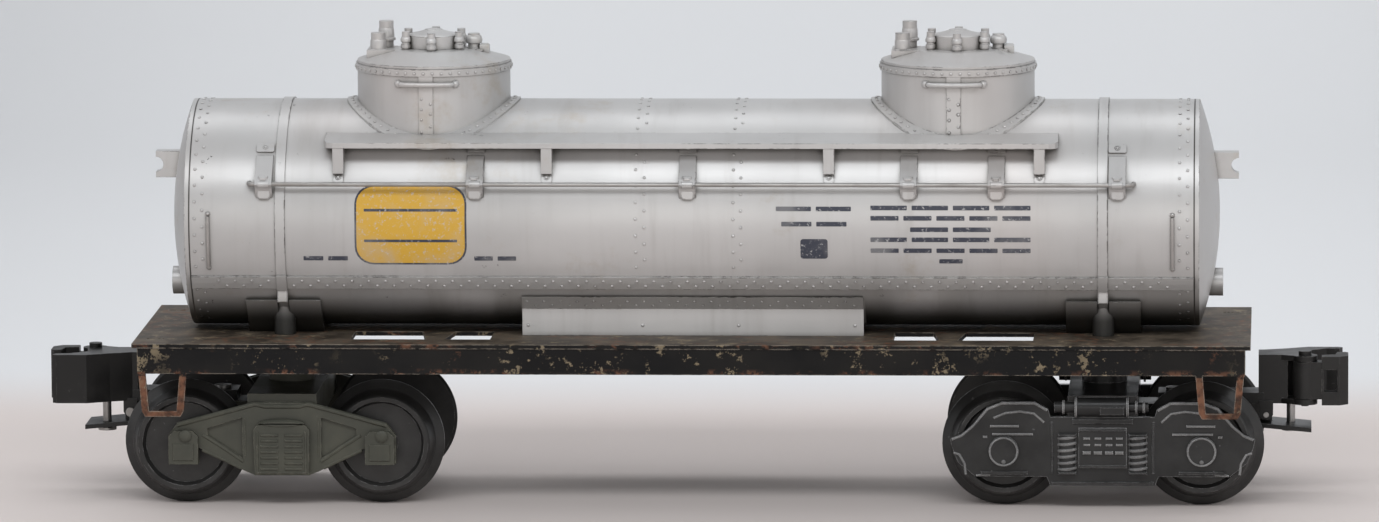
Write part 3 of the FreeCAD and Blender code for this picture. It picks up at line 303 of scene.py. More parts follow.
def rivets(centres, outward, radius, height):
    """Small round heads: five rings of eight points, from a sunk foot to a closed top."""
    rings = np.array([(0, -0.3), (1, -0.3), (0.95, 0.4), (0.6, 0.85), (0, 1)])
    sides = 8
    centres, outward = np.broadcast_arrays(np.asarray(centres, float), np.asarray(outward, float))
    outward = outward / np.linalg.norm(outward, axis=1)[:, None]
    first = np.cross(outward, np.array([0.31, 0.87, 0.38]))
    first /= np.linalg.norm(first, axis=1)[:, None]
    second = np.cross(outward, first)
    turn = circle(sides)
    flat = first[:, None] * turn[None, :, :1] + second[:, None] * turn[None, :, 1:]
    verts = (centres[:, None, None] + radius * rings[None, :, :1, None] * flat[:, None]
             + height * rings[None, :, 1:, None] * outward[:, None, None])
    template = np.array(grid_faces(len(rings), sides, True))
    start = len(rings) * sides * np.arange(len(centres))[:, None, None]
    return verts.reshape(-1, 3), (template[None] + start).reshape(-1, 4).tolist()


print("sides:", list(SIDES))

# %% [markdown]
# ## Finishes
# Every finish starts from the same few ideas: a slow cloudy change of colour, fine specks, darkening
# where surfaces meet, which is dirt together with painted shade, and edges that lose their paint.
# Each idea is a short function that returns a mask between 0 and 1, worked out from the piece's own
# coordinates, so the pattern stays put when the piece moves.

# %% Masks and mixes
def new_paint(name):
    """An empty finish: its material, its node tree, its shader and the piece's own coordinates."""
    made = bpy.data.materials.new(name)
    made.use_nodes = True
    tree = made.node_tree
    place = tree.nodes.new("ShaderNodeTexCoord").outputs["Object"]
    return made, tree, tree.nodes["Principled BSDF"], place


def add(tree, kind, inputs, **settings):
    """A shader node with its settings and inputs: an input is a value or another node's output."""
    made = tree.nodes.new("ShaderNode" + kind)
    for name, value in settings.items():
        setattr(made, name, value)
    for name, value in inputs.items():
        if isinstance(value, bpy.types.NodeSocket):
            tree.links.new(value, made.inputs[name])
        else:
            made.inputs[name].default_value = value
    return made


def stretch(tree, place, scale):
    """Coordinates multiplied along each axis, which squeezes or stretches a pattern."""
    return add(tree, "VectorMath", {0: place, 1: scale}, operation="MULTIPLY").outputs[0]


def noise(tree, place, scale, detail=3.0, rough=0.55):
    """A soft random pattern with so many bumps to the metre."""
    return add(tree, "TexNoise", {"Vector": place, "Scale": scale, "Detail": detail,
                                  "Roughness": rough}).outputs["Fac"]


def ramp(tree, value, low, high):
    """A smooth change from 0 to 1 while a value goes from low to high."""
    made = add(tree, "MapRange", {"Value": value, "From Min": low, "From Max": high},
               interpolation_type="SMOOTHSTEP")
    return made.outputs["Result"]


def between(tree, value, low, high):
    """A value from 0 to 1 spread over a range."""
    return add(tree, "MapRange", {"Value": value, "To Min": low, "To Max": high}).outputs["Result"]


def calc(tree, operation, first, second=0.0):
    """One step of arithmetic, left unclamped so that differences may go below zero."""
    return add(tree, "Math", {0: first, 1: second}, operation=operation).outputs[0]


def both_masks(tree, *masks):
    """Where all the masks are 1: their product."""
    whole = masks[0]
    for mask in masks[1:]:
        whole = calc(tree, "MULTIPLY", whole, mask)
    return whole


def mix(tree, mask, first, second):
    """The first colour where the mask is 0, and the second where it is 1."""
    return add(tree, "Mix", {0: mask, 6: first, 7: second}, data_type="RGBA").outputs[2]


def worn_edges(tree, radius, low=0.02, high=0.25):
    """Bright along edges: how far a normal smoothed over a radius leans from the true one."""
    soft = add(tree, "Bevel", {"Radius": radius}, samples=4).outputs[0]
    true = add(tree, "NewGeometry", {}).outputs["Normal"]
    lean = add(tree, "VectorMath", {0: soft, 1: true}, operation="DOT_PRODUCT").outputs["Value"]
    return ramp(tree, calc(tree, "SUBTRACT", 1.0, lean), low, high)


def crevices(tree, distance, low=0.15, high=0.8):
    """Bright where other surfaces are close and hide part of what a point could see, which is where
    ambient shade falls.
    """
    seen = add(tree, "AmbientOcclusion", {"Distance": distance}, samples=6).outputs["AO"]
    return ramp(tree, calc(tree, "SUBTRACT", 1.0, seen), low, high)


def bumps(tree, height, strength, distance, radius):
    """A normal bent by a height pattern, over edges rounded by a small radius."""
    rounded = add(tree, "Bevel", {"Radius": radius}, samples=4).outputs[0]
    return add(tree, "Bump", {"Height": height, "Strength": strength, "Distance": distance,
                              "Normal": rounded}).outputs[0]


def grey(level, warm=0.0):
    """A grey whose red is a little stronger, and whose blue is weaker, by a share of it."""
    return (level * (1 + warm), level, level * (1 - warm), 1)


def plug(tree, shader, **sources):
    """Link outputs to the shader's inputs, named with underscores for spaces."""
    for name, source in sources.items():
        tree.links.new(source, shader.inputs[name.replace("_", " ")])


print("masks ready")

# %% [markdown]
# The tank is black plastic under aluminium paint. Handling has clouded the paint, tan stains have
# dried on it, and small chips show the dark plastic, mostly along raised edges. A thin dark line
# marks the joint between the shell and each end. Grime together with painted shade darkens the paint
# under bars and round rivets, and the lowest part of the tank is painted near black, as painted
# shade with some dirt, except on the plates at its middle.

# %% Aluminium paint for the tank
def aluminium_paint():
    """Clouds, streaks, stains, grime with painted shade, and chips, then painted shade with some dirt
    low down, and the joint lines.
    """
    made, tree, shader, place = new_paint("aluminium_paint")
    clouds = noise(tree, place, 24, 4)
    colour = mix(tree, ramp(tree, clouds, 0.35, 0.65), grey(0.55, 0.012), grey(0.46, 0.012))
    streaks = ramp(tree, noise(tree, stretch(tree, place, (240, 50, 20)), 1, 4, 0.6), 0.48, 0.8)
    colour = mix(tree, both_masks(tree, streaks, 0.4), colour, grey(0.33, 0.05))
    stains = ramp(tree, noise(tree, place, 42, 6, 0.72), 0.56, 0.74)
    colour = mix(tree, both_masks(tree, stains, 0.5), colour, (0.37, 0.30, 0.21, 1))
    pink = ramp(tree, noise(tree, place, 15, 2), 0.5, 0.7)
    colour = mix(tree, both_masks(tree, pink, 0.35), colour, (0.50, 0.44, 0.41, 1))
    # darker where other surfaces are close: grime together with painted shade under bars and round
    # rivets
    grime_and_shade = both_masks(tree, crevices(tree, 1.6 * MM), 0.8)
    colour = mix(tree, grime_and_shade, colour, (0.10, 0.092, 0.078, 1))
    ragged = ramp(tree, noise(tree, place, 620, 4, 0.7), 0.46, 0.54)
    sparse = ramp(tree, noise(tree, place, 75, 2), 0.42, 0.56)
    edge_chips = both_masks(tree, worn_edges(tree, 0.3 * MM, 0.015, 0.12), ragged, sparse)
    spots = ramp(tree, noise(tree, place, 300, 5, 0.8), 0.665, 0.69)
    where = ramp(tree, noise(tree, place, 24, 2), 0.47, 0.6)
    chips = calc(tree, "MAXIMUM", edge_chips, both_masks(tree, spots, where))
    colour = mix(tree, chips, colour, (0.04, 0.036, 0.032, 1))
    along, _, height = add(tree, "SeparateXYZ", {0: place}).outputs
    along = calc(tree, "ABSOLUTE", along)
    # painted shade with some dirt: the lowest part of the tank goes near black, except on the middle
    # plates
    low = both_masks(tree, ramp(tree, height, DECK_TOP + 8.5 * MM, DECK_TOP + 2.5 * MM),
                     ramp(tree, along, PLATE_HALF + 0.1 * MM, PLATE_HALF + 0.4 * MM))
    colour = mix(tree, both_masks(tree, low, 0.96), colour, (0.014, 0.0135, 0.011, 1))
    away = calc(tree, "ABSOLUTE", calc(tree, "SUBTRACT", along, TANK_HALF))
    joint = calc(tree, "SUBTRACT", 1.0, ramp(tree, away, 0.06 * MM, 0.2 * MM))
    colour = mix(tree, joint, colour, (0.07, 0.065, 0.06, 1))
    shader.inputs["Metallic"].default_value = 0.45
    relief = calc(tree, "SUBTRACT", noise(tree, place, 1300, 3), chips)
    plug(tree, shader, Base_Color=colour, Roughness=between(tree, clouds, 0.3, 0.46),
         Normal=bumps(tree, relief, 0.16, 0.05 * MM, 0.12 * MM))
    return made


tank_paint = aluminium_paint()
print("made", tank_paint.name)

# %% [markdown]
# Dark parts come in several finishes that differ only in their colours, their gloss and how far the
# edges are rubbed, so one function makes them all. Dust lies in patches, and corners are darker
# with dirt together with painted shade.

# %% Black and grey finishes
def worn_dark(name, base, dust, edge, gloss, wear=0.5, metal=0.0, radius=0.18 * MM):
    """A dark finish: dust in patches, dirt with painted shade in corners, and edges rubbed to a lighter
    colour.
    """
    made, tree, shader, place = new_paint(name)
    patches = ramp(tree, noise(tree, place, 70, 5, 0.65), 0.4, 0.7)
    colour = mix(tree, both_masks(tree, patches, 0.7), base, dust)
    # corners darker: dirt together with painted shade, where other surfaces are close
    dirt_and_shade = tuple(0.4 * part for part in base[:3]) + (1,)
    colour = mix(tree, both_masks(tree, crevices(tree, 1.4 * MM, 0.3, 0.95), 0.6), colour, dirt_and_shade)
    ragged = ramp(tree, noise(tree, place, 620, 4, 0.7), 0.62 - 0.3 * wear, 0.74 - 0.25 * wear)
    rubbed = both_masks(tree, worn_edges(tree, radius), ragged)
    specks = ramp(tree, noise(tree, place, 900, 3, 0.7), 0.68, 0.74)
    light = calc(tree, "MAXIMUM", rubbed, both_masks(tree, specks, 0.3 * wear))
    colour = mix(tree, light, colour, edge)
    shader.inputs["Metallic"].default_value = metal
    shader.inputs["Specular IOR Level"].default_value = 0.32
    plug(tree, shader, Base_Color=colour, Roughness=between(tree, patches, gloss, gloss + 0.18),
         Normal=bumps(tree, noise(tree, place, 1400, 4, 0.6), 0.25, 0.05 * MM, 0.6 * radius))
    return made


truck_grey = worn_dark("truck_grey", (0.05, 0.051, 0.04, 1), (0.085, 0.084, 0.064, 1),
                       (0.26, 0.25, 0.2, 1), 0.42, wear=0.6)
truck_black = worn_dark("truck_black", grey(0.014), grey(0.036, 0.02), grey(0.42), 0.28, wear=0.95)
rubbed_black = worn_dark("rubbed_black", grey(0.1), grey(0.2, 0.02), grey(0.75), 0.28, wear=1.0)
coupler_black = worn_dark("coupler_black", grey(0.007, 0.03), grey(0.022, 0.05), grey(0.2, 0.05), 0.32)
wheel_iron = worn_dark("wheel_iron", grey(0.03, 0.02), grey(0.06, 0.03), grey(0.42), 0.32, metal=0.3)
plain_steel = worn_dark("plain_steel", grey(0.38, 0.02), grey(0.27, 0.06), grey(0.6), 0.3, metal=0.85)
wire_steel = worn_dark("wire_steel", grey(0.4, 0.03), grey(0.24, 0.07), grey(0.55), 0.32, metal=0.75)
washer_fibre = worn_dark("washer_fibre", (0.09, 0.04, 0.025, 1), (0.12, 0.07, 0.05, 1),
                         (0.2, 0.12, 0.08, 1), 0.6)
print("made the dark finishes")

# %% [markdown]
# The pressed frame is black paint over steel. Its top has gone dusty brown, its edges are rubbed
# pale, rust follows its rim, and chips show the primer. The four hanging steps are rusty all over,
# because fingers touch them most. The height of a point tells which of these it is.

# %% Frame paint with rusty steps
def frame_finish():
    """Black paint, dusty above and rusty below, with chips, a rusty rim and rubbed edges."""
    made, tree, shader, place = new_paint("frame_paint")
    height = add(tree, "SeparateXYZ", {0: place}).outputs[2]
    spots = noise(tree, place, 150, 6, 0.72)
    patches = noise(tree, place, 45, 4, 0.6)
    fine = noise(tree, place, 480, 5, 0.7)
    black = mix(tree, ramp(tree, patches, 0.35, 0.7), (0.002, 0.002, 0.0025, 1),
                (0.009, 0.008, 0.007, 1))
    dusty = mix(tree, ramp(tree, spots, 0.38, 0.62), (0.045, 0.036, 0.027, 1), (0.125, 0.1, 0.075, 1))
    top = ramp(tree, height, DECK_TOP - 0.12 * MM, DECK_TOP - 0.02 * MM)
    colour = mix(tree, top, black, dusty)
    rust = mix(tree, ramp(tree, fine, 0.35, 0.65), (0.04, 0.02, 0.013, 1), (0.18, 0.08, 0.045, 1))
    step = calc(tree, "SUBTRACT", 1.0, ramp(tree, height, SKIRT_LOW - 1.5 * MM, SKIRT_LOW))
    start = between(tree, step, 0.64, 0.22)
    over = add(tree, "MapRange", {"Value": calc(tree, "SUBTRACT", spots, start), "From Min": 0.0,
                                  "From Max": 0.06}).outputs["Result"]
    colour = mix(tree, over, colour, rust)
    chips = both_masks(tree, ramp(tree, noise(tree, place, 300, 5, 0.8), 0.57, 0.6),
                       ramp(tree, noise(tree, place, 60, 2), 0.4, 0.56))
    colour = mix(tree, both_masks(tree, chips, 0.8), colour, (0.25, 0.2, 0.13, 1))
    middle = calc(tree, "ABSOLUTE", calc(tree, "SUBTRACT", height, (DECK_TOP + SKIRT_LOW) / 2))
    rim = both_masks(tree, ramp(tree, middle, 1.5 * MM, 2.7 * MM), ramp(tree, fine, 0.5, 0.6),
                     ramp(tree, noise(tree, place, 85, 3), 0.42, 0.58))
    colour = mix(tree, both_masks(tree, rim, 0.75), colour, rust)
    ragged = ramp(tree, noise(tree, place, 380, 4, 0.7), 0.42, 0.54)
    rubbed = both_masks(tree, worn_edges(tree, 0.3 * MM, 0.01, 0.12), ragged)
    colour = mix(tree, rubbed, colour, (0.3, 0.265, 0.22, 1))
    shader.inputs["Specular IOR Level"].default_value = 0.22
    plug(tree, shader, Base_Color=colour, Roughness=between(tree, spots, 0.4, 0.72),
         Normal=bumps(tree, noise(tree, place, 1000, 4, 0.65), 0.35, 0.08 * MM, 0.15 * MM))
    return made


frame_paint = frame_finish()
print("made", frame_paint.name)

# %% [markdown]
# Each designed part keeps its shape and only changes its material, which is picked by the material
# slot that the part's record names. Added pieces use the same table.

# %% Paint the designed parts
FINISH = {
    "tank_paint": tank_paint, "frame_paint": frame_paint, "truck_grey": truck_grey,
    "truck_black": truck_black, "wheel_iron": wheel_iron, "bright_steel": plain_steel,
    "wire_steel": wire_steel, "coupler_black": coupler_black, "washer_fibre": washer_fibre,
}
for entry in frame["record"]["subparts"]:
    part = frame["nodes"][entry["node"]]
    part.data.materials.clear()
    part.data.materials.append(FINISH[entry["material_slot"]])


def finished(name, shapes, slot, body="wagon", paint=None):
    """Join shapes into a piece, give it its finish, and fix it to the body that carries it."""
    thing = joined(name, shapes)
    thing.data.materials.append(paint or FINISH[slot])
    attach(thing, body)
    print(name, len(thing.data.polygons), "faces")
    return thing

# %% [markdown]
# ## Rivets round the tank
# The real tank is rolled from plates, and double rows of rivets hold their seams. The model copies
# them as small round bumps, 3 mm apart, with the two rows of a pair set half a step apart. A whole
# row is one array of centres and outward directions, so hundreds of rivets cost one short call.

# %% Rivet rows
PITCH = 3.1 * MM
PITCH_ANGLE = math.degrees(PITCH / TANK_R)
RIVET_R = 0.31 * MM
RIVET_H = 0.2 * MM
STRIP_PROUD = 0.4 * MM
STRAP_X = 75.8 * MM
SEAM_ANGLES = (-29.9, -32.9)
# places along the tank of the double rows round it, in millimetres
HOOP_PAIRS = [(-91.6, -90.2), (-10.1, -8.5), (7.9, 9.3), (91.4, 89.9)]
END_ROWS = HOOP_PAIRS[0] + HOOP_PAIRS[-1][::-1]


def tank_rivets(along, angle, proud=0.0):
    """Rivets on the tank, at places along it and at angles above its widest line."""
    centres = round_tank(along, angle, TANK_R + proud)
    return rivets(centres, round_tank(0.0, angle, np.ones(len(centres))), RIVET_R, RIVET_H)


rows = []
for pair in HOOP_PAIRS:
    for number, along in enumerate(pair):
        angle = np.arange(-22 + 0.5 * number * PITCH_ANGLE, 203, PITCH_ANGLE)
        rows.append(on_side(tank_rivets(np.full(len(angle), along * MM), angle), "front", 0, AXIS_Z))
for along in END_ROWS:
    low = np.arange(-64, -38, PITCH_ANGLE) + 2 * (abs(along) > 91)
    rows += both_sides([tank_rivets(np.full(len(low), along * MM), low)], 0, AXIS_Z)
for number, angle in enumerate(SEAM_ANGLES):
    along = np.arange(-87.5 * MM + 0.5 * number * PITCH, 89 * MM, PITCH)
    along = along[np.abs(np.abs(along) - STRAP_X) > 1.4 * MM]
    rows += both_sides([tank_rivets(along, np.full(len(along), angle), STRIP_PROUD)], 0, AXIS_Z)
finished("tank_rivets", rows, "tank_paint")

# %% [markdown]
# The long plate at the middle of the wagon hides the tank's cradle. Its upper part leans inwards
# and carries a double row, and its lower part has one rivet for each cradle beam behind it.

# %% Rivets on the middle plates
PLATE_ANGLE = math.radians(41.2)
PLATE_TOP = (TANK_R * math.cos(PLATE_ANGLE) + 0.65 * MM, AXIS_Z - TANK_R * math.sin(PLATE_ANGLE))
PLATE_FOOT_OUT = 13.6 * MM
PLATE_KNEE = (PLATE_FOOT_OUT, DECK_TOP + 5.0 * MM)
lean = np.array(PLATE_TOP) - np.array(PLATE_KNEE)
lean_out = np.array([0, -lean[0], lean[1]]) / np.linalg.norm(lean)
rows = []
# how far up the slope each row lies, and how far along it starts, as a share of the pitch
for share, start in ((0.62, 0.0), (0.28, 0.5)):
    along = np.arange(-PLATE_HALF + 1.0 * MM + start * PITCH, PLATE_HALF - 0.6 * MM, PITCH)
    out, up = np.array(PLATE_KNEE) + share * lean
    centres = np.column_stack([along, np.full(len(along), up), np.full(len(along), out)])
    rows.append(rivets(centres, np.tile(lean_out, (len(along), 1)), RIVET_R, RIVET_H))
beams = np.array([-30.5, -9.3, 8.5, 30.0]) * MM
count = len(beams)
centres = np.column_stack([beams, np.full(count, DECK_TOP + 1.9 * MM), np.full(count, PLATE_FOOT_OUT)])
rows.append(rivets(centres, np.tile([0.0, 0.0, 1.0], (count, 1)), RIVET_R, RIVET_H))
finished("plate_rivets", both_sides(rows), "tank_paint")

# %% [markdown]
# ## Walkway props, rail brackets and end grab bars
# Thin fittings on a round tank are easiest to draw flat and then wrap: distance across the drawing
# becomes an angle round the tank, and height above the drawing becomes distance from its axis.

# %% Flat shapes wrapped round the tank
def wrapped(shape, along, angle):
    """A flat shape laid on the tank: its Y turns into an angle, and its Z into extra radius."""
    across, up, out = np.asarray(shape[0], float).T
    turn = math.radians(angle) + up / TANK_R
    return np.stack([along + across, (TANK_R + out) * np.sin(turn),
                     (TANK_R + out) * np.cos(turn)], -1), shape[1]


def patch(left, right, low, high, corner, bottom, top):
    """A thin closed plate with round corners, made of cross strips that can follow a curve.

    Each strip's half height is the plate's, less what a quarter circle takes off near both ends.
    """
    turn = np.linspace(0, np.pi / 2, 7)
    arc = corner * (1 - np.cos(turn))
    middle = np.linspace(left + corner, right - corner, 7)[1:-1]
    around = 11
    along = np.concatenate([[left], left + arc, middle, (right - arc)[::-1], [right]])
    half = (high - low) / 2
    height = half - corner + corner * np.sin(turn)
    height = np.concatenate([height[:1], height, np.full(len(middle), half), height[::-1], height[:1]])
    there = np.linspace(-1, 1, around)
    share = np.concatenate([there, there[::-1]])
    lift = np.where(np.arange(2 * around) < around, top, bottom) * np.ones((len(along), 1))
    lift[[0, -1]] = bottom
    verts = np.stack([np.broadcast_to(along[:, None], lift.shape),
                      (low + high) / 2 + height[:, None] * share[None], lift], -1)
    return verts.reshape(-1, 3), grid_faces(len(along), 2 * around, True)


def ring_rivet(along, angle, out):
    """One larger rivet with a rim round it, as on the feet of the props."""
    profile = [(0, -0.2), (0.5, -0.2), (0.5, 0.14), (0.36, 0.14), (0.3, 0.04), (0.24, 0.16), (0, 0.2)]
    turned = lathe(np.array(profile) * MM, 12)
    turn = math.radians(angle)
    centre = (along, out * math.sin(turn), out * math.cos(turn))
    return aimed(turned, centre, (0, math.sin(turn), math.cos(turn)))


PROP_X = np.array([-65.0, -26.5, 25.5, 64.2]) * MM
PROP_ANGLE = 25.2
fittings = []
for place in PROP_X:
    foot = patch(-0.95 * MM, 0.95 * MM, -1.4 * MM, 1.3 * MM, 0.5 * MM, -0.2 * MM, 0.3 * MM)
    fittings.append(wrapped(foot, place, PROP_ANGLE))
    fittings.append(ring_rivet(place, PROP_ANGLE - 0.8, TANK_R + 0.3 * MM))
finished("prop_feet", both_sides(fittings, 0, AXIS_Z), "tank_paint")

# %% [markdown]
# The strap round each end of the tank comes down over the seam as a short upright tab.

# %% Strap ends
TAB_ANGLE = -31.2
tabs = []
for place in (-STRAP_X, STRAP_X):
    over_seam = patch(-0.95 * MM, 0.95 * MM, -1.7 * MM, 1.7 * MM, 0.1 * MM, 0.0, 0.62 * MM)
    tabs.append(wrapped(over_seam, place, TAB_ANGLE))
    tabs.append(slab(oblong(place - 0.95 * MM, place + 0.95 * MM, -14.9 * MM, -12.0 * MM),
                     15.6 * MM, 17.2 * MM, 0.2 * MM))
finished("strap_ends", both_sides(tabs, 0, AXIS_Z), "tank_paint")

# %% [markdown]
# Each rail bracket is a stamped strip. Its top is a flat pad with one rivet, and it carries a sleeve
# that holds the wire and a short tongue below. The sleeve is a round bar laid along the wire.

# %% Bracket pads, sleeves and tongues
RAIL_ANGLE = math.radians(21.51)
RAIL_UP = TANK_R * math.sin(RAIL_ANGLE)
RAIL_OUT = TANK_R * math.cos(RAIL_ANGLE) + 1.96 * MM
BRACKET_X = np.array([-78.7, -39.7, -0.5, 40.2, 56.3, 78.5]) * MM
PAD_ANGLE = 40.6
fittings = []
for centre in BRACKET_X:
    pad = patch(-1.65 * MM, 1.65 * MM, -0.9 * MM, 0.9 * MM, 0.3 * MM, -0.2 * MM, 0.35 * MM)
    fittings.append(wrapped(pad, centre, PAD_ANGLE))
    fittings.append(ring_rivet(centre, PAD_ANGLE + 0.2, TANK_R + 0.32 * MM))
    sleeve = np.linspace(-1.05, 1.05, 3)[:, None] * [MM, 0, 0] + [centre, RAIL_UP, RAIL_OUT]
    fittings.append(tube(sleeve, 0.68 * MM, 12))
    lump = slab(oblong(centre - 0.9 * MM, centre + 0.8 * MM, RAIL_UP + 0.5 * MM, RAIL_UP + 1.5 * MM),
                RAIL_OUT - 1.6 * MM, RAIL_OUT + 0.2 * MM, 0.35 * MM)
    fittings.append(lump)
    tongue = [(-1.3, -2.3), (-0.9, -2.9), (0.9, -2.9), (1.3, -2.3), (1.3, -0.4), (-1.3, -0.4)]
    tongue = np.array(tongue) * MM + [centre, RAIL_UP]
    fittings.append(slab(tongue, RAIL_OUT - 1.6 * MM, RAIL_OUT - 0.3 * MM, 0.25 * MM))
finished("bracket_sleeves", both_sides(fittings, 0, AXIS_Z), "tank_paint")

# %% [markdown]
# A short grab bar stands at each end of the tank, for someone climbing off. It follows the tank's
# curve a little way off it, and both its ends sit on a round boss.

# %% Grab bars at the tank's ends
GRAB_X = np.array([-89.1, 88.6]) * MM
fittings = []
for place in GRAB_X:
    bow = np.linspace(-21.5, 4.5, 14)
    path = round_tank(place, bow, TANK_R + 0.35 * MM)
    fittings.append(tube(path, 0.34 * MM, 8))
    ends = np.array([-22.5, 5.8])
    spots = round_tank(place, ends, TANK_R)
    fittings.append(rivets(spots, round_tank(0.0, ends, np.ones(2)), 0.5 * MM, 0.5 * MM))
finished("end_grab_bars", both_sides(fittings, 0, AXIS_Z), "wire_steel")

# %% [markdown]
# ## Domes
# Each dome is a short drum with a rivet row under its rim, a riveted butt strap down its front and
# back, a grab bar, and a riveted flange where it meets the tank. The flange's rivets lie on a circle
# seen from above, and drop with the tank's curve.

# %% Rivets, straps and bars on the domes
RIM_LOW = DOME_TOP - 1.3 * MM
FLANGE_RIVETS = 60
FLANGE_ROW = DOME_R + 1.0 * MM
# across the strap in millimetres, and how far up it each rivet of the row stands
STRAP_ROWS = {-1.2: (0.0, 0.3, 0.55, 0.8), 0.45: (0.14, 0.44, 0.68)}


def round_dome(shape):
    """A flat shape laid on the dome's drum: its X turns into an angle, and its Z into extra radius."""
    across, up, out = np.asarray(shape[0], float).T
    turn = across / DOME_R
    return np.stack([(DOME_R + out) * np.sin(turn), up, (DOME_R + out) * np.cos(turn)], -1), shape[1]


def dome_row(count, radius, height, proud):
    """Rivets in a level circle round a dome."""
    flat = np.concatenate([circle(count), np.zeros((count, 1))], -1)
    centres = flat * (radius + proud) + [0, 0, height]
    return rivets(centres, flat, RIVET_R, RIVET_H)


strap_low = math.sqrt(TANK_R ** 2 - DOME_R ** 2)
strap_high = RIM_LOW - AXIS_Z
pieces = []
for dome_x in (-DOME_X, DOME_X):
    rows = [dome_row(54, DOME_R, DOME_TOP - 0.72 * MM, 0.3 * MM)]
    flat = circle(FLANGE_RIVETS) * FLANGE_ROW
    rise = np.sqrt((TANK_R + 0.35 * MM) ** 2 - flat[:, 1] ** 2)
    outward = np.column_stack([np.zeros(FLANGE_RIVETS), flat[:, 1], rise])
    rows.append(rivets(np.column_stack([flat, AXIS_Z + rise]), outward, RIVET_R, RIVET_H))
    pieces += [(verts + [dome_x, 0, 0], faces) for verts, faces in rows]
    side = [round_dome(patch(-1.7 * MM, 0.9 * MM, strap_low - 0.5 * MM, strap_high + 0.1 * MM,
                             0.02 * MM, -0.3 * MM, 0.25 * MM))]
    for across, shares in STRAP_ROWS.items():
        up = strap_low + 1.0 * MM + np.array(shares) * (strap_high - strap_low - 3.6 * MM)
        turn = across * MM / DOME_R
        facing = np.tile([math.sin(turn), 0, math.cos(turn)], (len(up), 1))
        spots = facing * (DOME_R + 0.25 * MM) + up[:, None] * [0, 1, 0]
        side.append(rivets(spots, facing, 0.27 * MM, RIVET_H))
    pieces += both_sides(side, dome_x, AXIS_Z)
finished("dome_rivets", pieces, "tank_paint")

# %% [markdown]
# The bar on each dome is bent from thick wire. Its ends turn in towards the drum and sit on bosses.

# %% Grab bars on the domes
BAR_UP = DOME_TOP - 2.75 * MM - AXIS_Z
pieces = []
for dome_x in (-DOME_X, DOME_X):
    across = np.concatenate([[-5.3, -5.2, -4.9], np.linspace(-4.3, 3.7, 17), [4.3, 4.6, 4.7]]) * MM
    stand = np.concatenate([[-0.3, 0.3, 0.75], np.full(17, 0.95), [0.75, 0.3, -0.3]]) * MM
    turn = across / DOME_R
    reach = DOME_R + stand
    path = np.stack([reach * np.sin(turn), np.full(len(turn), BAR_UP), reach * np.cos(turn)], -1)
    ends = np.array([-5.7, 5.1]) * MM / DOME_R
    facing = np.stack([np.sin(ends), np.zeros(2), np.cos(ends)], -1)
    spots = facing * DOME_R + [0, BAR_UP, 0]
    side = [tube(path, 0.45 * MM, 10), rivets(spots, facing, 0.8 * MM, 0.75 * MM)]
    pieces += both_sides(side, dome_x, AXIS_Z)
finished("dome_grab_bars", pieces, "tank_paint")

# %% [markdown]
# ## Dome covers
# On the real wagon, the cover has a manway lid held by acorn nuts, two safety valves on one square
# seat, and a vent. All of these are turned shapes, so each is a short profile of radius and height
# spun round its own axis. A profile that starts and ends on the axis is closed by itself.

# %% Nuts, lid, valves and vents
CAP_BASE = cap_low.z + 2.0 * MM
NUT_CIRCLE = 5.7 * MM
# profiles of radius and height, in millimetres
NUT = [(0, -0.6), (0.95, -0.6), (0.95, 0.1), (0.7, 0.3), (0.72, 0.45), (0.98, 0.6), (1.02, 1.0),
       (0.85, 1.45), (0.45, 1.75), (0, 1.85)]
LID = [(0, -0.5), (4.75, -0.5), (4.75, 0.0), (4.45, 0.22), (3.9, 0.3), (2.6, 0.62), (1.5, 1.0),
       (0.7, 1.22), (0, 1.28)]
VALVE = [(0, -0.4), (1.75, -0.4), (1.75, 0.0), (1.5, 0.15), (1.45, 1.7), (1.3, 1.95), (1.15, 2.0),
         (1.15, 3.0), (0.95, 3.1), (0, 3.12)]
VENT = [(0, -0.3), (1.35, -0.3), (1.35, 0.1), (0.95, 0.2), (0.95, 0.7), (1.45, 0.95), (1.6, 1.5),
        (1.45, 2.1), (0.95, 2.55), (0, 2.7)]


def turned(profile, x, y, z, sides=20):
    """A profile in millimetres, turned and stood upright at a place."""
    return aimed(lathe(np.array(profile) * MM, sides), (x, y, z), (0, 0, 1))


pieces = []
for dome_x in (-DOME_X, DOME_X):
    for nut in range(6):
        turn = math.radians(60 * nut + 30)
        pieces.append(turned(NUT, dome_x + NUT_CIRCLE * math.cos(turn), NUT_CIRCLE * math.sin(turn),
                             CAP_BASE + 3.35 * MM, 10))
    pieces.append(turned(LID, dome_x, 0, CAP_BASE + 4.95 * MM, 40))
    pieces.append(turned(VALVE, dome_x - 10.2 * MM, -1.7 * MM, CAP_BASE + 2.4 * MM))
    pieces.append(turned(VALVE, dome_x - 9.0 * MM, 2.2 * MM, CAP_BASE + 4.1 * MM))
    pieces.append(turned(VENT, dome_x + 7.5 * MM, 0, CAP_BASE + 2.5 * MM))
    block = slab(oblong(dome_x + 8.6 * MM, dome_x + 10.4 * MM, -1.1 * MM, 1.1 * MM),
                 CAP_BASE + 1.2 * MM, CAP_BASE + 3.3 * MM, 0.3 * MM)
    pieces.append(block)
high = max(verts[:, 2].max() for verts, _ in pieces)
print("highest fitting:", round(high / MM, 2), "mm, design:", round(cad_box[1][2] / MM, 2), "mm")
finished("dome_fittings", pieces, "tank_paint")

# %% [markdown]
# ## Trucks
# The left truck copies one built of bent bars, and the right truck a cast one with roller bearings.
# Both are single castings on the model, so their detail is low relief: ridges, ribs, lids and coils
# that stand a fraction of a millimetre off a flat side. Each ridge is a round bar sunk to more than
# half its depth.

# %% Ridges on a truck side
TRUCK_FACE = 21.1 * MM
WHEEL_X = 18.2


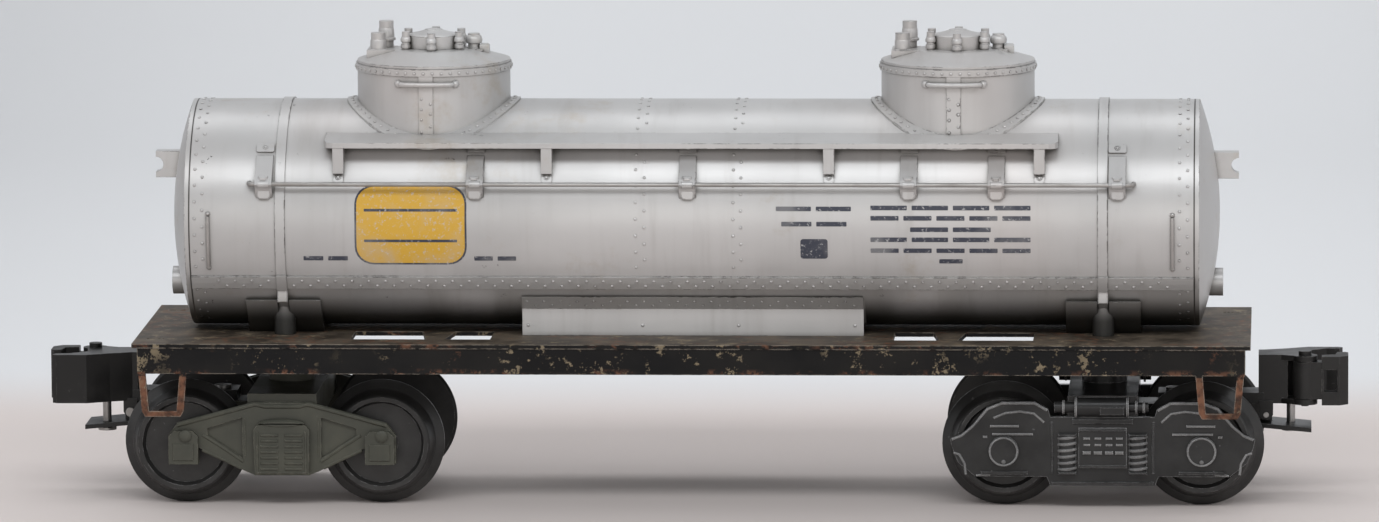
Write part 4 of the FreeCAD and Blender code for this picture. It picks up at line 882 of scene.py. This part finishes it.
def ridge(points, radius, out=TRUCK_FACE, sunk=0.2):
    """A round bar through points (along, up) in millimetres, partly sunk in the truck's side."""
    path = np.array(points, float) * MM
    path = np.column_stack([path, np.full(len(path), out - sunk * MM)])
    return tube(path, radius * MM, 8)


def mirrored(points):
    """The same points for the other half of the truck."""
    return [(-along, up) for along, up in points][::-1]


def plate(left, right, low, high, bottom, top, bevel=0.12):
    """A chamfered rectangle on a truck's side, all in millimetres."""
    return slab(np.array(oblong(left, right, low, high)) * MM, bottom * MM, top * MM, bevel * MM)


def knob(along, up, out, radius, height, sides=14):
    """A round boss with a domed end, facing outwards from a truck's side."""
    profile = [(0, -0.5), (radius, -0.5), (radius, 0.6 * height), (0.8 * radius, 0.9 * height),
               (0.45 * radius, height), (0, height)]
    return aimed(lathe(np.array(profile) * MM, sides), np.array([along, up, out]) * MM, (0, 0, 1))


print("truck helpers ready")

# %% [markdown]
# On the bar truck an arched bar runs over both wheels and a bent one ties them below. Between them
# stands the spring block: ribs on a framed panel stand for the coils, under an oval cap.

# %% Relief of the left truck
PANEL_FACE = 21.8
PANEL_PROUD = 22.4
arch = [(-19.4, 3.75), (-4.9, 7.7), (-3.2, 7.3), (3.2, 7.3), (4.9, 7.7), (19.4, 3.75)]
tie = [(14.6, 1.9), (10.8, -0.5), (7.2, -3.0)]
lower = [(14.8, -0.9), (11.0, -2.6), (7.7, -4.2)]
post = [(6.8, 5.0), (6.8, -2.0)]
side = [ridge(arch, 0.5)]
for line, radius in ((tie, 0.42), (lower, 0.35), (post, 0.3)):
    side += [ridge(line, radius), ridge(mirrored(line), radius)]
for low in np.arange(-4.5, 2.2, 1.05):
    for left, right in ((-3.9, -0.6), (0.6, 3.9)):
        side.append(plate(left, right, low, low + 0.5, PANEL_FACE, PANEL_PROUD + 0.02))
side += [plate(-4.7, 4.7, -5.15, -4.85, PANEL_FACE, PANEL_PROUD),
         plate(-4.7, -4.25, -5.1, 2.8, PANEL_FACE, PANEL_PROUD),
         plate(4.25, 4.7, -5.1, 2.8, PANEL_FACE, PANEL_PROUD)]
oval = circle(24) * [4.3, 0.85] + [0, 4.15]
side.append(slab(oval * MM, 21.0 * MM, 22.35 * MM, 0.4 * MM))
for centre in (-WHEEL_X, WHEEL_X):
    side += [knob(centre + 0.4, 1.9, 22.3, 1.15, 0.65),
             plate(centre - 2.0, centre + 2.0, -2.8, 0.5, 22.0, 22.6, 0.2)]
finished("left_truck_relief", both_sides(side, TRUCK_X["left"], AXLE_Z), "truck_grey", "left_truck")

# %% [markdown]
# The cast truck has high shoulders outlined by a raised edge, round bearing caps with one bolt, a
# brake cylinder along its top and a coil spring at each side of the middle. A coil is an arc that
# climbs a little as it goes round, and only its front half shows.

# %% Relief of the right truck
SIDE_FACE = 20.8
SPRING_X, SPRING_OUT = 6.5, 20.5
CYLINDER_UP, CYLINDER_OUT = 7.45, 20.5


def coil(centre, low, high, turns, radius, wire):
    """Front halves of a spring's turns: sine and cosine of the angle give the arc, which climbs."""
    turn = np.radians(np.linspace(-82, 82, 13))
    arcs = []
    for start in np.linspace(low, high, turns):
        path = np.stack([centre + radius * np.sin(turn), start + 0.16 * np.sin(turn),
                         SPRING_OUT + radius * np.cos(turn)], -1)
        arcs.append(tube(path * MM, wire * MM, 8))
    return arcs


shoulder = [(-27.7, 1.5), (-25.9, 2.2), (-23.8, 4.0), (-21.2, 7.1), (-18.5, 8.2), (-12.5, 8.2),
            (-10.2, 6.9)]
inner_arch = [(-20.0, 5.5), (-17.8, 6.4), (-15.2, 6.7), (-12.6, 6.3), (-10.8, 4.7)]
loop = [(-25.2, -5.0), (-25.4, -3.0), (-26.4, -1.3), (-27.4, -1.0)]
skirt = [(-23.2, -5.2), (-20.8, -5.05), (-20.3, -4.4)]
side, edges = [], []
for line, radius in ((shoulder, 0.26), (inner_arch, 0.24), (loop, 0.24), (skirt, 0.22)):
    edges += [ridge(line, radius, sunk=0.06), ridge(mirrored(line), radius, sunk=0.06)]
for sign in (-1, 1):
    for left, right, up in ((-20.7, -15.4, 4.0), (-20.3, -12.8, 2.5), (-22.0, -21.2, 2.0)):
        ends = sorted((sign * -left, sign * -right))
        edges.append(plate(*ends, up - 0.2, up + 0.2, 20.9, 21.5, 0.08))
    middle = SPRING_X * sign
    edges += coil(middle, -3.9, 1.9, 6, 1.62, 0.3)
    for low, high in ((-4.9, -4.3), (2.2, 2.7)):
        side.append(plate(middle - 1.7, middle + 1.7, low, high, SIDE_FACE, 22.3, 0.2))
    side.append(ridge([(9.4 * sign, 4.8), (9.2 * sign, 0.0), (9.3 * sign, -4.8)], 0.3, sunk=0.1))
    wheel = WHEEL_X * sign
    ring = np.concatenate([circle(28), [[1, 0]]]) * 2.55 + [wheel, -0.6]
    edges.append(ridge(ring, 0.2, 22.4 * MM, 0.02))
    edges.append(knob(wheel, -2.5, 22.3, 0.42, 0.35, 8))
    side.append(plate(wheel - 4.2, wheel + 4.4, -5.0, -4.4, SIDE_FACE, 21.5, 0.1))
for place, radius in ((-4.9, 1.95), (4.6, 1.95), (-7.2, 1.3), (6.2, 1.25), (7.6, 1.1)):
    disc = lathe(np.array([(0, -0.2), (radius, -0.2), (radius, 0.2), (0, 0.2)]) * MM, 20)
    edges.append(aimed(disc, np.array([place, CYLINDER_UP, CYLINDER_OUT]) * MM, (1, 0, 0)))
side += [plate(-0.5, 4.0, 6.15, 7.75, 21.5, 22.4, 0.15), plate(-4.4, 4.4, 3.1, 3.55, 21.0, 21.9),
         plate(-4.4, 4.4, -3.6, -3.1, 21.0, 21.9), plate(-9.4, 9.4, -6.9, -6.3, SIDE_FACE, 21.45, 0.15),
         plate(-5.6, 5.6, 4.4, 5.4, SIDE_FACE, 21.5, 0.15)]
for place in (-2.9, -0.85, 1.2, 3.1):
    edges += [plate(place - 0.75, place + 0.75, -1.15, -0.55, 21.4, 22.1, 0.12),
             plate(place - 0.6, place + 0.6, 0.4, 0.8, 21.4, 21.95, 0.1),
             plate(place - 0.6, place + 0.6, 1.6, 2.0, 21.4, 21.95, 0.1)]
finished("right_truck_relief", both_sides(side, TRUCK_X["right"], AXLE_Z), "truck_black",
         "right_truck")
finished("right_truck_edges", both_sides(edges, TRUCK_X["right"], AXLE_Z), "truck_black",
         "right_truck", rubbed_black)

# %% [markdown]
# ## Marks
# A tank wagon carries its owner's badge and rows of small print about its tests. Here the badge is a
# plain round-cornered panel with a thin border and two thin lines, and the print is plain rows of
# bars. They are thin patches on the paint, and their ink is rubbed away in specks.

# %% Printed marks
def ink(name, colour):
    """Printing ink that is rubbed away in specks and faded in patches."""
    made, tree, shader, place = new_paint(name)
    rubbed = ramp(tree, noise(tree, place, 1500, 4, 0.75), 0.56, 0.66)
    patches = ramp(tree, noise(tree, place, 120, 3), 0.45, 0.7)
    shade = mix(tree, both_masks(tree, patches, 0.35), colour, grey(0.42, 0.02))
    shade = mix(tree, both_masks(tree, rubbed, 0.75), shade, grey(0.5, 0.01))
    plug(tree, shader, Base_Color=shade, Roughness=between(tree, patches, 0.4, 0.55))
    return made


ochre_ink = ink("ochre_ink", (0.62, 0.36, 0.035, 1))
slate_ink = ink("slate_ink", (0.035, 0.04, 0.06, 1))
PANEL_LEFT, PANEL_RIGHT, PANEL_HALF = -61.6 * MM, -41.6 * MM, 7.2 * MM


def printed(left, right, low, high, corner, lift):
    """A mark on the tank, a hair's breadth thick: its height is measured round the tank."""
    return wrapped(patch(left, right, low, high, corner, -0.1 * MM, lift * MM), 0.0, 0.0)


panel = printed(PANEL_LEFT, PANEL_RIGHT, -PANEL_HALF, PANEL_HALF, 3.2 * MM, 0.05)
finished("badge_panel", both_sides([panel], 0, AXIS_Z), "tank_paint", paint=ochre_ink)
edge = 0.35 * MM
border = printed(PANEL_LEFT - edge, PANEL_RIGHT + edge, -PANEL_HALF - edge, PANEL_HALF + edge,
                 3.5 * MM, 0.025)
marks = [border]
inset = 1.4 * MM
for low, high in ((2.6, 3.1), (-3.1, -2.6)):
    marks.append(printed(PANEL_LEFT + inset, PANEL_RIGHT - inset, low * MM, high * MM, 0.1 * MM, 0.07))
# in millimetres: left, right and height round the tank of each row of bars, and how many fill it
PRINT_ROWS = [
    (-71.5, -63.3, -6.3, 2), (-39.9, -32.2, -6.3, 2), (15.8, 29.6, 3.2, 2), (16.8, 28.8, 0.4, 2),
    (33.2, 62.6, 3.4, 4), (33.2, 62.6, 1.5, 5), (40.5, 55.3, -0.6, 2), (33.2, 62.6, -2.5, 4),
    (33.2, 62.6, -4.6, 5), (45.8, 50.1, -6.7, 1),
]
GAP = 0.9
HALF_BAR = 0.42
for left, right, up, count in PRINT_ROWS:
    starts = np.linspace(left, right + GAP, count + 1)
    low, high = (up - HALF_BAR) * MM, (up + HALF_BAR) * MM
    for start, end in zip(starts[:-1], starts[1:] - GAP):
        marks.append(printed(start * MM, end * MM, low, high, 0.1 * MM, 0.04))
marks.append(printed(20.3 * MM, 25.3 * MM, -6.2 * MM, -2.4 * MM, 0.5 * MM, 0.04))
finished("printed_bars", both_sides(marks, 0, AXIS_Z), "tank_paint", paint=slate_ink)

# %% [markdown]
# ## Floor
# A studio table has no horizon: the floor runs back and curves up into a pale wall. The sweep is a
# profile of distance and height carried along a straight line. It is clear when seen from behind or
# below, so that it never hides the wagon.

# %% Lay the sweep
FLOOR_FRONT, FLOOR_FLAT = -2.6, 0.5
WALL_CURVE, WALL_TOP = 0.6, 2.2
FLOOR_HALF = 3.0


def sweep_paint():
    """Warm near the wagon, cooler beyond it, and darker towards both sides of the wall, a painted
    shade.
    """
    made, tree, shader, place = new_paint("sweep_paint")
    across, back, _ = add(tree, "SeparateXYZ", {0: place}).outputs
    edge = calc(tree, "ABSOLUTE", across)
    # painted shade: the wall's colour darkens towards both sides
    wall = mix(tree, ramp(tree, edge, 0.08, 0.3), (0.79, 0.795, 0.805, 1), (0.6, 0.602, 0.61, 1))
    colour = mix(tree, ramp(tree, back, 0.085, 0.16), (0.69, 0.62, 0.59, 1), wall)
    behind = add(tree, "NewGeometry", {}).outputs["Backfacing"]
    plug(tree, shader, Base_Color=colour, Alpha=calc(tree, "SUBTRACT", 1.0, behind))
    shader.inputs["Roughness"].default_value = 0.7
    return made


bend = np.radians(np.linspace(0, 90, 25))
run = np.concatenate([[FLOOR_FRONT, -0.4], FLOOR_FLAT + WALL_CURVE * np.sin(bend),
                      [FLOOR_FLAT + WALL_CURVE]])
rise = np.concatenate([[0, 0], WALL_CURVE * (1 - np.cos(bend)), [WALL_TOP]])
reach = np.array([-FLOOR_HALF, FLOOR_HALF])
verts = np.stack([np.broadcast_to(reach[None], (len(run), 2)), np.repeat(run[:, None], 2, 1),
                  np.repeat(rise[:, None], 2, 1)], -1).reshape(-1, 3)
mesh = bpy.data.meshes.new("floor_sweep")
mesh.from_pydata(verts.tolist(), [], grid_faces(len(run), 2))
mesh.materials.append(sweep_paint())
mesh.shade_smooth()
floor = bpy.data.objects.new("floor_sweep", mesh)
bpy.context.scene.collection.objects.link(floor)
floor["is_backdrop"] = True
print("floor laid")

# %% [markdown]
# ## Last look
# The finished model must be no larger than the design, so the largest change between the two boxes is
# printed.

# %% Compare the sizes and finish
new_box = [list(corner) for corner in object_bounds()]
growth = np.abs(np.array(new_box) - np.array(cad_box)).max()
print("largest change of the box:", round(growth / MM, 3), "mm")
